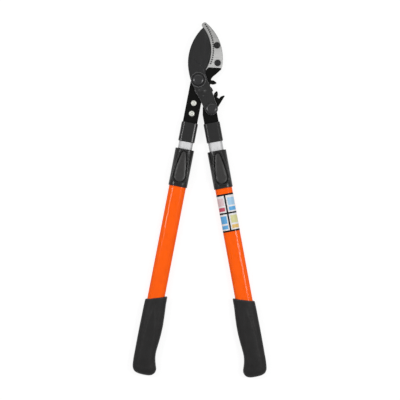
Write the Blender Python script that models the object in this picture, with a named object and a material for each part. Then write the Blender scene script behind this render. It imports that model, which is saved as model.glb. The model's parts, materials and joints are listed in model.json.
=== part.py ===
"""Telescopic bypass lopper with a geared compound head.

The lopper lies flat with its jaws closed and both handles pushed in. X is across, Y runs from the grips to
the jaws, Z is up. Its front faces up. Metres throughout.

The head works like this: the blade turns on the main pivot and carries the second pivot on its link. The
right arm turns there, and its toothed sector rolls on the sector of the hook, so the arm turns twice as far
as the blade.
"""

import math

import bmesh
import bpy
from mathutils import Matrix, Vector

# Names of fasteners that come in pairs, nearest the jaws first
ROWS = ("upper", "lower")

# Clearance between touching pieces, eased edges of mouldings, and how far cutters run past plates
GAP = 0.0003
EASE = 0.0008
THROUGH = 0.02

# Place of the main pivot, so that the whole object is centred on the origin
MAIN_PIVOT_X = -0.0025
MAIN_PIVOT_Y = 0.2291

# Gear pair of the head: two equal sectors
GEAR_MODULE = 0.00465
GEAR_TEETH = 13
PRESSURE_ANGLE = math.radians(25)
ADDENDUM = 1.0
DEDENDUM = 1.25
BACKLASH = 0.0004
LINE_OF_CENTRES = math.radians(-65.5)
HOOK_TEETH = 3
ARM_TEETH = 4

# Plates of the head
PLATE = 0.006
JAW_RIB = 0.003
JAW_INSET = 0.0008
JAW_RIB_INSET = 0.0023
BLADE = 0.0045
BLADE_LAND = 0.0005
BLADE_GRIND = 0.004
BLADE_CHAMFER = 0.0005
PIVOT_BOSS_RADIUS = 0.014
PIVOT_BOSS = 0.0006
BLADE_EYE_RADIUS = 0.0122
HOOK_EYE_RADIUS = 0.0135
ARM_EYE_RADIUS = 0.012
ARM_BACK_RADIUS = 0.0168
BLADE_SIDE_SHARE = 0.9
COUNTER_BLADE = 0.003
COUNTER_CHAMFER = 0.0012
COUNTER_OVERLAP = 0.0035

# Pivot bolts, bushes, washers and nuts
PIVOT_BOLT_RADIUS = 0.006
PIVOT_HEAD_RADIUS = 0.011
PIVOT_HEAD = 0.0046
PIVOT_HEAD_FLAT_RADIUS = 0.007
BUSH_WALL = 0.002
WASHER = 0.0015
WASHER_RADIUS = 0.012
PIVOT_NUT = 0.0099
PIVOT_NUT_ACROSS = 0.018

# Small screws and bolts
SCREW_RADIUS = 0.003
SCREW_HEAD_RADIUS = 0.0058
SCREW_HEAD = 0.0028
SCREW_SOCKET_RADIUS = 0.0023
SCREW_SOCKET = 0.0016
SMALL_NUT = 0.0048
SMALL_NUT_ACROSS = 0.010
SHANK_BOLT_STATIONS = (0.0452, 0.0654)

# Arms
LEFT_TILT = math.radians(-11.0)
RIGHT_TILT = math.radians(10.4)
RIGHT_AXIS_OFFSET = -0.0048
ARM_WIDTH = 0.0276
ARM_TONGUE_WIDTH = 0.017
HOOK_ARM_INSIDE = 0.0411
HOOK_ARM_OUTSIDE = 0.006
HOOK_STOP = ((1.268, math.radians(10.7)), (1.128, math.radians(7.6)))
GEAR_ARM_TOP = 0.008
LEFT_COLLAR_TOP = 0.0828
RIGHT_COLLAR_TOP = 0.0262
LAP = 0.0040
LAP_TOP_STATION = 0.036
LAP_CORNER = 0.004
SHANK_HEAD = 0.0034
SHANK_PLUG = 0.046
SHANK_PIN_RADIUS = 0.002
SHANK_PIN_STATION = 0.021

# Tubes, flat ovals: the inner one, then the walls of the bushing and of the outer one round it
INNER_WIDTH = 0.0274
INNER_DEPTH = 0.016
INNER_WALL = 0.0013
BUSHING_WALL = 0.0009
OUTER_WALL = 0.0012

# Collars, moulded round the inner tubes
COLLAR_WALL = 0.00165
COLLAR_LENGTH = 0.037
COLLAR_ROOF = 0.00235
COLLAR_CORNER = 0.007

# Lock sleeves, measured from their top
LEFT_SHOWN_TUBE = 0.0142
RIGHT_SHOWN_TUBE = 0.0172
SLEEVE_WALL = 0.0015
SLEEVE_LENGTH = 0.072
SLEEVE_ROOF = 0.003
BUSHING_FLANGE = 0.002
BUSHING_LENGTH = 0.056
RIVET_RADIUS = 0.0016
RIVET_HEAD_RADIUS = 0.003
RIVET_HEAD = 0.0009
RIVET_STATIONS = (0.024, 0.052)

# Lock button: a teardrop rocker on a cross pin
BUTTON_TOP = 0.0040
BUTTON_END = 0.0635
BUTTON_TOP_RADIUS = 0.0045
BUTTON_END_RADIUS = 0.0122
BUTTON_GAP = 0.0008
BUTTON_RIM = 0.0027
RIM_HEIGHT = 0.0047
BUTTON_PIVOT_STATION = 0.035
BUTTON_PIVOT_RISE = 0.0024
BUTTON_PIVOT_RADIUS = 0.00125
BUTTON_PRESS = math.radians(7)
BUTTON_SKIN = 0.0024
BUTTON_RISE = 0.0022
BUTTON_DROP = 0.0014
BUTTON_EDGE = 0.0014
BUTTON_CROWN = 0.0007
BUTTON_CROWN_INSET = 0.0032
TEARDROP_TOP_STEPS = 8
TEARDROP_END_STEPS = 12
LOCK_PIN_STATION = 0.013
LOCK_PIN_RADIUS = 0.003
LOCK_PIN_TIP_RADIUS = 0.0023
LOCK_PIN_TAPER = 0.0022
LOCK_PIN_REACH = 0.0007
LOCK_PIN_SEAT = 0.0024
PIN_PASSAGE = 0.0008
LOCK_HOLE_COUNT = 7
LOCK_HOLE_PITCH = 0.045
SPRING_STATION = 0.051
SPRING_RADIUS = 0.0024
SPRING_WIRE_RADIUS = 0.00026
SPRING_LENGTH = 0.0040
SPRING_TURNS = 4
SPRING_CUP_RADIUS = 0.0032

# End stops inside the handles
STOP_GAP = 0.001
GLIDE_HEAD = 0.012
GLIDE_PLUG = 0.020

# Handles and grips
HANDLE_SHOWN = 0.2155
GRIP_LENGTH = 0.1435
GRIP_HEEL = 0.0115
GRIP_WALL = 0.0043
GRIP_MOUTH_SLOPE = -0.307
GRIP_END_SLOPE = 0.311
GRIP_SQUARENESS = 2.5

# Control points of the head's outlines, from the main pivot
BLADE_TIP = (0.0094, 0.0994)
EDGE_MIDDLE = (0.0243, 0.0588)
EDGE_HEEL = (0.0132, 0.0178)
SPINE_MIDDLE = (-0.0125, 0.0674)
SPINE_HEEL = (-0.0195, 0.0262)
LINK_SIDE = (-0.0174, 0.0112)
LINK_FOOT = (-0.0129, -0.0058)
THROAT_MIDDLE = (0.0158, 0.0030)
THROAT_FOOT = (0.0213, -0.0086)
JAW_OUTSIDE = ((0.0457, 0.0270), (0.0410, 0.0718), (0.0190, 0.1048))
JAW_NOSE = ((0.0172, 0.1066), (0.0110, 0.1092), (0.0066, 0.1043))
COUNTER_EDGE_TOP = (0.0066, 0.1028)
COUNTER_EDGE_FOOT = (0.0104, 0.0204)
COUNTER_FOOT = ((0.0134, 0.0176), (0.0194, 0.0237), (0.0410, 0.0226), (0.0444, 0.0216))
COUNTER_SCREWS = ((0.0355, 0.0656), (0.0366, 0.0322))
HOOK_NECK = ((0.0246, 0.0022), (0.0276, 0.0062), (0.0334, 0.0108), (0.0438, 0.0203))
HOOK_THROAT = ((0.0400, 0.0300), (0.0150, 0.0300), (0.0095, 0.0200), (0.0020, 0.0150))

# Dimples along the counter blade's edge
DIMPLE_ROW = ((0.0135, 0.1050), (0.0287, 0.0554), (0.0234, 0.0309))
DIMPLE_PITCH = 0.00422
DIMPLE_RADIUS = 0.0014
DIMPLE_DEPTH = 0.0008

# Hollow grind on the blade's front: a slope from its inner border down to the edge
GRIND_BORDER = ((-0.0030, 0.0373), (0.0010, 0.0925))
GRIND_SLOPE = 0.04
GRIND_REACH = 0.036

PITCH_RADIUS = GEAR_MODULE * GEAR_TEETH / 2
CENTRE_DISTANCE = GEAR_MODULE * GEAR_TEETH
TOOTH_PITCH = 2 * math.pi / GEAR_TEETH
ARM_PIVOT = Vector((math.cos(LINE_OF_CENTRES), math.sin(LINE_OF_CENTRES))) * CENTRE_DISTANCE
BLADE_BACK = PLATE / 2 + GAP
BLADE_FRONT = BLADE_BACK + BLADE
STACK_BEHIND = PLATE / 2 + GAP + WASHER + GAP + PIVOT_NUT
OUTER_GROWTH = 2 * (GAP + BUSHING_WALL + GAP + OUTER_WALL)
OUTER_WIDTH = INNER_WIDTH + OUTER_GROWTH
OUTER_DEPTH = INNER_DEPTH + OUTER_GROWTH
COLLAR_WIDTH = INNER_WIDTH + 2 * (GAP + COLLAR_WALL)
COLLAR_DEPTH = INNER_DEPTH + 2 * (GAP + COLLAR_WALL)
SLEEVE_WIDTH = OUTER_WIDTH + 2 * (GAP + SLEEVE_WALL)
SLEEVE_DEPTH = OUTER_DEPTH + 2 * (GAP + SLEEVE_WALL)
GRIP_DEPTH = OUTER_DEPTH + 2 * GRIP_WALL
MID_PLANE = max(STACK_BEHIND, GRIP_DEPTH / 2)
LAP_BACK = -PLATE / 2 - GAP - LAP
OUTER_FACE = OUTER_DEPTH / 2
SLEEVE_FACE = SLEEVE_DEPTH / 2
RIM_FACE = OUTER_FACE + RIM_HEIGHT
BUTTON_PIVOT_Z = OUTER_FACE + BUTTON_PIVOT_RISE
TRAVEL = LOCK_HOLE_PITCH * (LOCK_HOLE_COUNT - 1)


def remove_everything():
    for obj in list(bpy.data.objects):
        bpy.data.objects.remove(obj, do_unlink=True)


def material(name, colour, roughness, metallic=0.0):
    """A Principled material with a linear base colour."""
    made = bpy.data.materials.new(name)
    made.use_nodes = True
    shader = made.node_tree.nodes["Principled BSDF"]
    shader.inputs["Base Color"].default_value = (*colour, 1.0)
    shader.inputs["Roughness"].default_value = roughness
    shader.inputs["Metallic"].default_value = metallic
    return made


def empty(name, location, tilt=0.0, parent=None):
    made = bpy.data.objects.new(name, None)
    made.empty_display_size = 0.01
    made.location = location
    made.rotation_euler = (0, 0, tilt)
    made.parent = parent
    bpy.context.scene.collection.objects.link(made)
    return made


def solid(name, verts, faces, parent, finish=None, smooth=True):
    """A mesh object whose faces all point outwards. Without a finish it is a cutter or a guide."""
    mesh = bpy.data.meshes.new(name)
    mesh.from_pydata([tuple(v) for v in verts], [], faces)
    cleaner = bmesh.new()
    cleaner.from_mesh(mesh)
    bmesh.ops.recalc_face_normals(cleaner, faces=cleaner.faces)
    cleaner.to_mesh(mesh)
    cleaner.free()
    if smooth:
        mesh.shade_smooth()
        mesh.set_sharp_from_angle(angle=math.radians(32))
    obj = bpy.data.objects.new(name, mesh)
    obj.parent = parent
    if finish:
        mesh.materials.append(finish)
    else:
        obj.hide_render = True
        obj.display_type = "WIRE"
    bpy.context.scene.collection.objects.link(obj)
    return obj


def boolean(target, other, operation):
    change = target.modifiers.new(other.name, "BOOLEAN")
    change.operation = operation
    change.solver = "EXACT"
    change.object = other
    return target


def cut(target, *cutters):
    for cutter in cutters:
        boolean(target, cutter, "DIFFERENCE")
    return target


def unite(target, *pieces):
    for piece in pieces:
        boolean(target, piece, "UNION")
    return target


def skin(loops):
    """Faces over a stack of loops with equal counts, capped at both ends."""
    count = len(loops[0])
    faces = [tuple(range(count)), tuple(range((len(loops) - 1) * count, len(loops) * count))]
    for level in range(len(loops) - 1):
        for i in range(count):
            j = (i + 1) % count
            low, high = level * count, (level + 1) * count
            faces.append((low + i, low + j, high + j, high + i))
    return faces


def loft(name, loops, parent, finish=None, smooth=True):
    return solid(name, [v for loop in loops for v in loop], skin(loops), parent, finish, smooth)


def prism(name, outline, bottom, top, parent, finish=None, smooth=True):
    """An outline in the XY plane, given thickness along Z."""
    loops = [[(x, y, z) for x, y in outline] for z in (bottom, top)]
    return loft(name, loops, parent, finish, smooth)


def along(name, stations, parent, finish=None, smooth=True):
    """Cross sections (x, z) set at distances along the tube axis, which runs down -Y."""
    loops = [[(x, -station, z) for x, z in section] for station, section in stations]
    return loft(name, loops, parent, finish, smooth)


def pipe(name, start, end, outer, inner, parent, finish):
    """A straight hollow length with equal counts of points outside and inside."""
    count = len(outer)
    rings = [(start, outer), (end, outer), (end, inner), (start, inner)]
    verts = [(x, -station, z) for station, section in rings for x, z in section]
    faces = []
    for level in range(4):
        low, high = level * count, (level + 1) % 4 * count
        for i in range(count):
            j = (i + 1) % count
            faces.append((low + i, low + j, high + j, high + i))
    return solid(name, verts, faces, parent, finish)


def circle(radius, sides, centre=(0.0, 0.0)):
    turns = [2 * math.pi * i / sides for i in range(sides)]
    return [(centre[0] + radius * math.cos(a), centre[1] + radius * math.sin(a)) for a in turns]


def hexagon(across, centre=(0.0, 0.0)):
    return circle(across / math.sqrt(3), 6, centre)


def turned(name, profile, sides, centre, parent, finish=None):
    """A profile (radius, z) turned round a vertical axis. Radius 0 at an end closes it there."""
    verts = []
    rings = []
    for radius, z in profile:
        rings.append(list(range(len(verts), len(verts) + (sides if radius > 0 else 1))))
        if radius > 0:
            verts += [(x, y, z) for x, y in circle(radius, sides, centre)]
        else:
            verts.append((centre[0], centre[1], z))
    faces = []
    closed = rings if profile[0][0] == 0 else rings + [rings[0]]
    for low, high in zip(closed, closed[1:]):
        for i in range(sides):
            j = (i + 1) % sides
            if len(low) == 1:
                faces.append((low[0], high[j], high[i]))
            elif len(high) == 1:
                faces.append((low[i], low[j], high[0]))
            else:
                faces.append((low[i], low[j], high[j], high[i]))
    return solid(name, verts, faces, parent, finish)


def stadium(width, depth, steps=7):
    """A flat oval: two half circles and two straights, in the (x, z) plane."""
    radius = depth / 2
    reach = width / 2 - radius
    points = []
    for side, start in ((1, -math.pi / 2), (-1, math.pi / 2)):
        for i in range(steps + 1):
            a = start + math.pi * i / steps
            points.append((side * reach + radius * math.cos(a), radius * math.sin(a)))
    return points


def rounded_box(width, depth, corner, steps=4):
    points = []
    for quarter in range(4):
        sx = 1 if quarter in (0, 3) else -1
        sz = 1 if quarter in (0, 1) else -1
        for i in range(steps + 1):
            a = (quarter + i / steps) * math.pi / 2
            x = sx * (width / 2 - corner) + corner * math.cos(a)
            points.append((x, sz * (depth / 2 - corner) + corner * math.sin(a)))
    return points


def grown(section, extra):
    """An anticlockwise outline with every side moved out by extra."""
    result = []
    count = len(section)
    for i in range(count):
        before, here, after = (Vector(section[(i + k) % count]) for k in (-1, 0, 1))
        normal = side_normal(here - before) + side_normal(after - here)
        normal.normalize()
        stretch = max(normal.dot(side_normal(after - here)), 0.5)
        result.append(tuple(here + normal * extra / stretch))
    return result


def side_normal(edge):
    """The outward side of an edge of an anticlockwise outline."""
    normal = Vector((edge.y, -edge.x))
    normal.normalize()
    return normal


def arc_through(a, b, c, steps):
    """Points on the circle through three points, from a by way of b to c."""
    a, b, c = Vector(a), Vector(b), Vector(c)
    d = 2 * (a.x * (b.y - c.y) + b.x * (c.y - a.y) + c.x * (a.y - b.y))
    sa, sb, sc = a.length_squared, b.length_squared, c.length_squared
    x = (sa * (b.y - c.y) + sb * (c.y - a.y) + sc * (a.y - b.y)) / d
    y = (sa * (c.x - b.x) + sb * (a.x - c.x) + sc * (b.x - a.x)) / d
    centre = Vector((x, y))
    start = math.atan2(a.y - y, a.x - x)
    turn = 1 if (b - a).cross(c - b) > 0 else -1
    sweep = (math.atan2(c.y - y, c.x - x) - start) * turn % (2 * math.pi) * turn
    radius = (a - centre).length
    angles = [start + sweep * i / steps for i in range(steps + 1)]
    return [(x + radius * math.cos(t), y + radius * math.sin(t)) for t in angles]


def arc(centre, radius, start, end, steps):
    angles = [start + (end - start) * i / steps for i in range(steps + 1)]
    return [(centre[0] + radius * math.cos(t), centre[1] + radius * math.sin(t)) for t in angles]


def in_frame(points, origin, tilt):
    """Moves points given across and down a tilted arm into the frame of the head."""
    turn = Matrix.Rotation(tilt, 2)
    return [tuple(Vector(origin) + turn @ Vector((x, -station))) for x, station in points]


# Gear sectors


def involute(angle):
    return math.tan(angle) - angle


def half_tooth(radius):
    """Half of a tooth's angle at a radius."""
    base = PITCH_RADIUS * math.cos(PRESSURE_ANGLE)
    pressure = math.acos(min(1.0, base / radius))
    at_pitch = TOOTH_PITCH / 4 - BACKLASH / 2 / PITCH_RADIUS
    return at_pitch + involute(PRESSURE_ANGLE) - involute(pressure)


def flank_radii():
    root = PITCH_RADIUS - DEDENDUM * GEAR_MODULE
    base = PITCH_RADIUS * math.cos(PRESSURE_ANGLE)
    tip = PITCH_RADIUS + ADDENDUM * GEAR_MODULE
    return [root, base] + [base + (tip - base) * t for t in (0.2, 0.45, 0.72, 1.0)]


def flank(centre, tooth, side, rising):
    """One flank: side -1 is the clockwise one. Rising runs from the root to the tip."""
    radii = flank_radii() if rising else reversed(flank_radii())
    polar = [(r, tooth + side * half_tooth(r)) for r in radii]
    return [(centre[0] + r * math.cos(a), centre[1] + r * math.sin(a)) for r, a in polar]


def tooth_row(centre, teeth):
    """The outline over a row of whole teeth with their root arcs, anticlockwise."""
    root = flank_radii()[0]
    points = []
    for i, tooth in enumerate(teeth):
        points += flank(centre, tooth, -1, True) + flank(centre, tooth, 1, False)
        if i + 1 < len(teeth):
            start = tooth + half_tooth(root)
            end = teeth[i + 1] - half_tooth(root)
            points += arc(centre, root, start, end, 3)[1:-1]
    return points


# Outlines of the head, in the frame of the main pivot


def cutting_edge(steps=14):
    return arc_through(EDGE_HEEL, EDGE_MIDDLE, BLADE_TIP, steps)


def blade_outline():
    """Anticlockwise from the tip down the spine, round the eye and back up the cutting edge."""
    spine = arc_through(BLADE_TIP, SPINE_MIDDLE, SPINE_HEEL, 10)[1:]
    heel = arc_through(SPINE_HEEL, LINK_SIDE, LINK_FOOT, 4)[1:]
    eye = arc(ARM_PIVOT, BLADE_EYE_RADIUS, math.radians(207), math.radians(381), 12)
    throat = arc_through(THROAT_FOOT, THROAT_MIDDLE, EDGE_HEEL, 4)[:-1]
    return spine + heel + eye + throat, cutting_edge()


def jaw_outer(steps=12):
    return arc_through(*JAW_OUTSIDE, steps)


def counter_outline():
    """Anticlockwise from the foot of the outer edge, round the nose and down the inner edge."""
    nose = arc_through(*JAW_NOSE, 5)
    middle = (EDGE_MIDDLE[0] - COUNTER_OVERLAP, EDGE_MIDDLE[1])
    inner = arc_through(COUNTER_EDGE_TOP, middle, COUNTER_EDGE_FOOT, 12)
    return jaw_outer(), nose + inner + list(COUNTER_FOOT)


def jaw_core():
    """The counter blade's outline without its thin tail."""
    jaw_edge, rest = counter_outline()
    return jaw_edge + rest[:-len(COUNTER_FOOT)]


def hook_outline():
    """The hook's plate without its jaw: left arm, toothed sector, neck and eye."""
    half = ARM_WIDTH / 2
    foot = LEFT_COLLAR_TOP + COLLAR_ROOF - GAP / 2
    first = LINE_OF_CENTRES - TOOTH_PITCH
    teeth = [LINE_OF_CENTRES + i * TOOTH_PITCH for i in range(HOOK_TEETH)]
    root = flank_radii()[0]
    arm_right = in_frame([(half, foot), (half, HOOK_ARM_INSIDE)], (0, 0), LEFT_TILT)
    # The stop fills out the first tooth: shares of the pitch radius, and angles past the tooth
    stop = [p for share, past in HOOK_STOP for p in arc((0, 0), share * PITCH_RADIUS, first + past, 0, 1)[:1]]
    stop += flank((0, 0), first, 1, False)[2:]
    stop += arc((0, 0), root, first + half_tooth(root), teeth[0] - half_tooth(root), 3)[1:-1]
    eye = arc((0, 0), HOOK_EYE_RADIUS, math.radians(92), math.radians(186), 7)
    arm_left = in_frame([(-half, HOOK_ARM_OUTSIDE), (-half, foot)], (0, 0), LEFT_TILT)
    jaw = list(HOOK_NECK) + list(HOOK_THROAT)
    return arm_right + stop + tooth_row((0, 0), teeth) + jaw + eye + arm_left


def gear_arm_outline():
    """The right arm's plate: toothed sector, eye and tongue."""
    origin = right_axis_origin()
    half = ARM_WIDTH / 2
    shoulder = RIGHT_COLLAR_TOP + COLLAR_ROOF - GAP / 2
    tongue = ARM_TONGUE_WIDTH / 2
    facing = LINE_OF_CENTRES + math.pi
    teeth = [facing + (i + 1.5 - ARM_TEETH) * TOOTH_PITCH for i in range(ARM_TEETH)]
    root = flank_radii()[0]
    tip = flank_radii()[-1]
    start = arc(ARM_PIVOT, ARM_EYE_RADIUS, math.radians(-22), math.radians(12), 3)
    prong_tip = arc(ARM_PIVOT, tip, teeth[0] - half_tooth(tip), teeth[0], 1)[:1]
    prong = flank(ARM_PIVOT, teeth[0], 1, False)
    prong += arc(ARM_PIVOT, root, teeth[0] + half_tooth(root), teeth[1] - half_tooth(root), 3)[1:-1]
    back = arc(ARM_PIVOT, ARM_BACK_RADIUS, math.radians(166), math.radians(186), 3)
    left = in_frame([(-half, GEAR_ARM_TOP), (-half, shoulder), (-tongue, shoulder)], origin, RIGHT_TILT)
    foot = shoulder + SHANK_HEAD + GAP
    ends = in_frame([(-tongue, foot), (tongue, foot)], origin, RIGHT_TILT)
    right = in_frame([(tongue, shoulder), (half, shoulder), (half, GEAR_ARM_TOP)], origin, RIGHT_TILT)
    teeth_points = tooth_row(ARM_PIVOT, teeth[1:])
    return start + prong_tip + prong + teeth_points + back + left + ends + right


def right_axis_origin():
    across = Vector((math.cos(RIGHT_TILT), math.sin(RIGHT_TILT)))
    return ARM_PIVOT + across * RIGHT_AXIS_OFFSET


# Fasteners


def hole(name, radius, bottom, top, centre, parent, sides=20):
    return prism(name, circle(radius, sides, centre), bottom, top, parent)


def socket_bolt(name, centre, face, end, parent, finish=None):
    """A low button head on a face, with its plain shank reaching down to end."""
    head = SCREW_HEAD_RADIUS
    profile = [
        (0, face + SCREW_HEAD),
        (head * 0.55, face + SCREW_HEAD),
        (head * 0.85, face + SCREW_HEAD * 0.72),
        (head, face + SCREW_HEAD * 0.3),
        (head, face),
        (SCREW_RADIUS, face),
        (SCREW_RADIUS, end + GAP),
        (SCREW_RADIUS - GAP, end),
        (0, end),
    ]
    bolt = turned(name, profile, 18, centre, parent, finish)
    top = face + SCREW_HEAD
    socket = prism(
        f"{name}_socket", hexagon(2 * SCREW_SOCKET_RADIUS, centre), top - SCREW_SOCKET, top + GAP, parent
    )
    return cut(bolt, socket)


def nut(name, across, bottom, top, bore, centre, parent, finish):
    """A hexagon nut with a plain bore."""
    body = prism(name, hexagon(across, centre), bottom, top, parent, finish, smooth=False)
    return cut(body, hole(f"{name}_bore", bore, bottom - GAP, top + GAP, centre, parent))


def pivot_set(prefix, centre, parent, steel, zinc):
    """Domed bolt, washer and lock nut of one pivot, all carried by the blade."""
    face = BLADE_FRONT + PIVOT_BOSS + GAP
    head = PIVOT_HEAD_RADIUS
    flat = PIVOT_HEAD_FLAT_RADIUS
    end = -MID_PLANE + GAP
    dome = arc_through((flat, PIVOT_HEAD), (flat + 0.62 * (head - flat), 0.72 * PIVOT_HEAD),
                       (head, 0.25 * PIVOT_HEAD), 4)
    profile = [(0, face + PIVOT_HEAD)] + [(r, face + z) for r, z in dome]
    profile += [(head, face), (PIVOT_BOLT_RADIUS, face)]
    profile += [(PIVOT_BOLT_RADIUS, end + GAP), (PIVOT_BOLT_RADIUS - GAP, end), (0, end)]
    turned(f"{prefix}_bolt", profile, 24, centre, parent, steel)
    bore = PIVOT_BOLT_RADIUS + GAP
    top = -PLATE / 2 - GAP
    ring = [(bore, top), (WASHER_RADIUS, top), (WASHER_RADIUS, top - WASHER), (bore, top - WASHER)]
    turned(f"{prefix}_washer", ring, 24, centre, parent, zinc)
    low = top - WASHER - GAP
    nut(f"{prefix}_nut", PIVOT_NUT_ACROSS, low - PIVOT_NUT, low, bore, centre, parent, zinc)


def bushing(name, centre, parent, bronze):
    bore = PIVOT_BOLT_RADIUS + GAP
    outer = bore + BUSH_WALL
    half = PLATE / 2
    ring = [(bore, half), (outer, half), (outer, -half), (bore, -half)]
    turned(name, ring, 24, centre, parent, bronze)
    return outer + GAP


# Head


def dimple_places():
    """Evenly spaced along the row, leaving out what the screw heads would cover."""
    fine = arc_through(*DIMPLE_ROW, 60)
    length = sum(math.dist(a, b) for a, b in zip(fine, fine[1:]))
    row = arc_through(*DIMPLE_ROW, round(length / DIMPLE_PITCH))
    clear = SCREW_HEAD_RADIUS + DIMPLE_RADIUS
    return [p for p in row if all(math.dist(p, screw) > clear for screw in COUNTER_SCREWS)]


def build_hook(frame, finishes):
    """Hook plate with the jaw's rib behind and the counter blade's seat in front."""
    half = PLATE / 2
    jaw_edge, jaw_rest = counter_outline()
    counter = jaw_edge + jaw_rest
    hook = prism("hook_body", hook_outline(), -half, half, frame, finishes["forged"], smooth=False)
    jaw = prism("hook_jaw", grown(counter, -JAW_INSET), -half - JAW_RIB / 2, -GAP, frame)
    rib = prism("hook_rib", grown(jaw_core(), -JAW_RIB_INSET), -half - JAW_RIB, -half, frame)
    unite(hook, jaw, rib)
    seat = prism("hook_seat", grown(counter, GAP), -GAP, half + GAP, frame)
    cut(hook, seat)
    hole_radius = bushing("main_pivot_bushing", (0, 0), frame, finishes["bronze"])
    cut(hook, hole("hook_bore", hole_radius, -THROUGH, THROUGH, (0, 0), frame, 24))
    for i, place in enumerate(list(COUNTER_SCREWS) + shank_bolt_places()):
        cut(hook, hole(f"hook_hole_{i}", SCREW_RADIUS + GAP, -THROUGH, THROUGH, place, frame, 12))


def shank_bolt_places():
    return in_frame([(0, s) for s in SHANK_BOLT_STATIONS], (0, 0), LEFT_TILT)


def build_counter_blade(frame, finishes):
    """Flat plate with a chamfered outer edge, two screws and a row of conical dimples."""
    jaw_edge, rest = counter_outline()
    count = len(jaw_edge)
    whole = jaw_edge + rest
    shrunk = grown(whole, -COUNTER_CHAMFER)
    top = shrunk[:count] + whole[count:]
    thick = COUNTER_BLADE
    levels = [(whole, 0), (whole, thick - COUNTER_CHAMFER * 0.6), (top, thick)]
    loops = [[(x, y, z) for x, y in outline] for outline, z in levels]
    blade = loft("counter_blade", loops, frame, finishes["bright"], smooth=False)
    over = thick + GAP
    cone = [(0, thick - DIMPLE_DEPTH), (DIMPLE_RADIUS, thick), (DIMPLE_RADIUS, over), (0, over)]
    for i, place in enumerate(dimple_places()):
        cut(blade, turned(f"counter_dimple_{i}", cone, 8, place, frame))
    for row, place in zip(ROWS, COUNTER_SCREWS):
        cut(blade, hole(f"counter_hole_{row}", SCREW_RADIUS + GAP, -THROUGH, THROUGH, place, frame, 12))
        end = -PLATE / 2 - JAW_RIB
        socket_bolt(f"counter_screw_{row}", place, thick + GAP, end, frame, finishes["black_steel"])


def build_blade(frame, finishes):
    """Blade and link in one plate: flat behind, ground in front along the cutting edge."""
    rest, edge = blade_outline()
    whole = rest + edge
    count = len(rest)
    ground = grown(whole, -BLADE_GRIND)
    bevel = grown(whole, -BLADE_CHAMFER)
    top = bevel[:count] + ground[count:]
    below = [tuple(Vector(a).lerp(Vector(b), BLADE_SIDE_SHARE)) for a, b in zip(whole, ground)]
    side = whole[:count] + below[count:]
    levels = [
        (whole, BLADE_BACK),
        (whole, BLADE_BACK + BLADE_LAND),
        (side, BLADE_FRONT - BLADE_CHAMFER),
        (top, BLADE_FRONT),
    ]
    loops = [[(x, y, z) for x, y in outline] for outline, z in levels]
    blade = loft("blade", loops, frame, finishes["blade"], smooth=False)
    cut(blade, hollow_grind(frame))
    for i, centre in enumerate(((0, 0), ARM_PIVOT)):
        radius = PIVOT_BOSS_RADIUS if i == 0 else BLADE_EYE_RADIUS - 0.001
        boss = prism(
            f"blade_boss_{i}", circle(radius, 32, centre), BLADE_FRONT - GAP, BLADE_FRONT + PIVOT_BOSS, frame
        )
        unite(blade, boss)
        cut(blade, hole(f"blade_bore_{i}", PIVOT_BOLT_RADIUS + GAP, -THROUGH, THROUGH, centre, frame, 24))
    pivot_set("main_pivot", (0, 0), frame, finishes["dark_steel"], finishes["zinc"])
    pivot_set("arm_pivot", tuple(ARM_PIVOT), frame, finishes["dark_steel"], finishes["zinc"])


def hollow_grind(frame):
    """A wedge whose sloping underside takes more off the blade's front towards the cutting edge."""
    foot, head = (Vector(p) for p in GRIND_BORDER)
    along_border = (head - foot).normalized()
    inward = Vector((along_border.y, -along_border.x))
    runout = (Vector(EDGE_HEEL) - foot).normalized() * GRIND_REACH
    back = -inward * BLADE_LAND
    top = head + along_border * GRIND_REACH
    corners = [foot + back, foot + runout, head + inward * GRIND_REACH, top + back]
    under = [(p.x, p.y, BLADE_FRONT - GRIND_SLOPE * (p - foot).dot(inward)) for p in corners]
    over = [(p.x, p.y, BLADE_FRONT + BLADE) for p in corners]
    return loft("blade_hollow_grind", [under, over], frame)


def build_gear_arm(frame, axis, finishes):
    """Forged right arm: toothed sector and tongue in one plane, and the oval shank behind it."""
    shifted = [tuple(Vector(p) - ARM_PIVOT) for p in gear_arm_outline()]
    arm = prism("gear_arm", shifted, -PLATE / 2, PLATE / 2, frame, finishes["forged"], smooth=False)
    shank_solids(arm, "gear_arm", RIGHT_COLLAR_TOP, axis)
    radius = bushing("arm_pivot_bushing", (0, 0), frame, finishes["bronze"])
    cut(arm, hole("gear_arm_bore", radius, -THROUGH, THROUGH, (0, 0), frame, 24))


def shank_solids(target, prefix, collar_top, axis):
    """The oval head that seats on the tube's end and the plug inside the tube, joined to target."""
    head = collar_top + COLLAR_ROOF + GAP / 2
    seat = head + SHANK_HEAD
    plug = inner_bore(-GAP)
    unite(
        target,
        along(f"{prefix}_head", [(head, inner_section(0)), (seat, inner_section(0))], axis),
        along(f"{prefix}_plug", [(seat - GAP, plug), (seat + SHANK_PLUG, plug)], axis),
    )
    pin = seat + SHANK_PIN_STATION
    cut(target, hole(f"{prefix}_pin_hole", SHANK_PIN_RADIUS + GAP, -THROUGH, THROUGH, (0, -pin), axis, 12))


def inner_bore(extra):
    """The bore of the inner tube, grown by extra."""
    return stadium(INNER_WIDTH - 2 * INNER_WALL + 2 * extra, INNER_DEPTH - 2 * INNER_WALL + 2 * extra)


def outer_bore(extra):
    """The bore of the outer tube, grown by extra."""
    return stadium(OUTER_WIDTH - 2 * OUTER_WALL + 2 * extra, OUTER_DEPTH - 2 * OUTER_WALL + 2 * extra)


def inner_section(extra):
    return stadium(INNER_WIDTH + 2 * extra, INNER_DEPTH + 2 * extra)


def outer_section(extra):
    return stadium(OUTER_WIDTH + 2 * extra, OUTER_DEPTH + 2 * extra)


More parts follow.
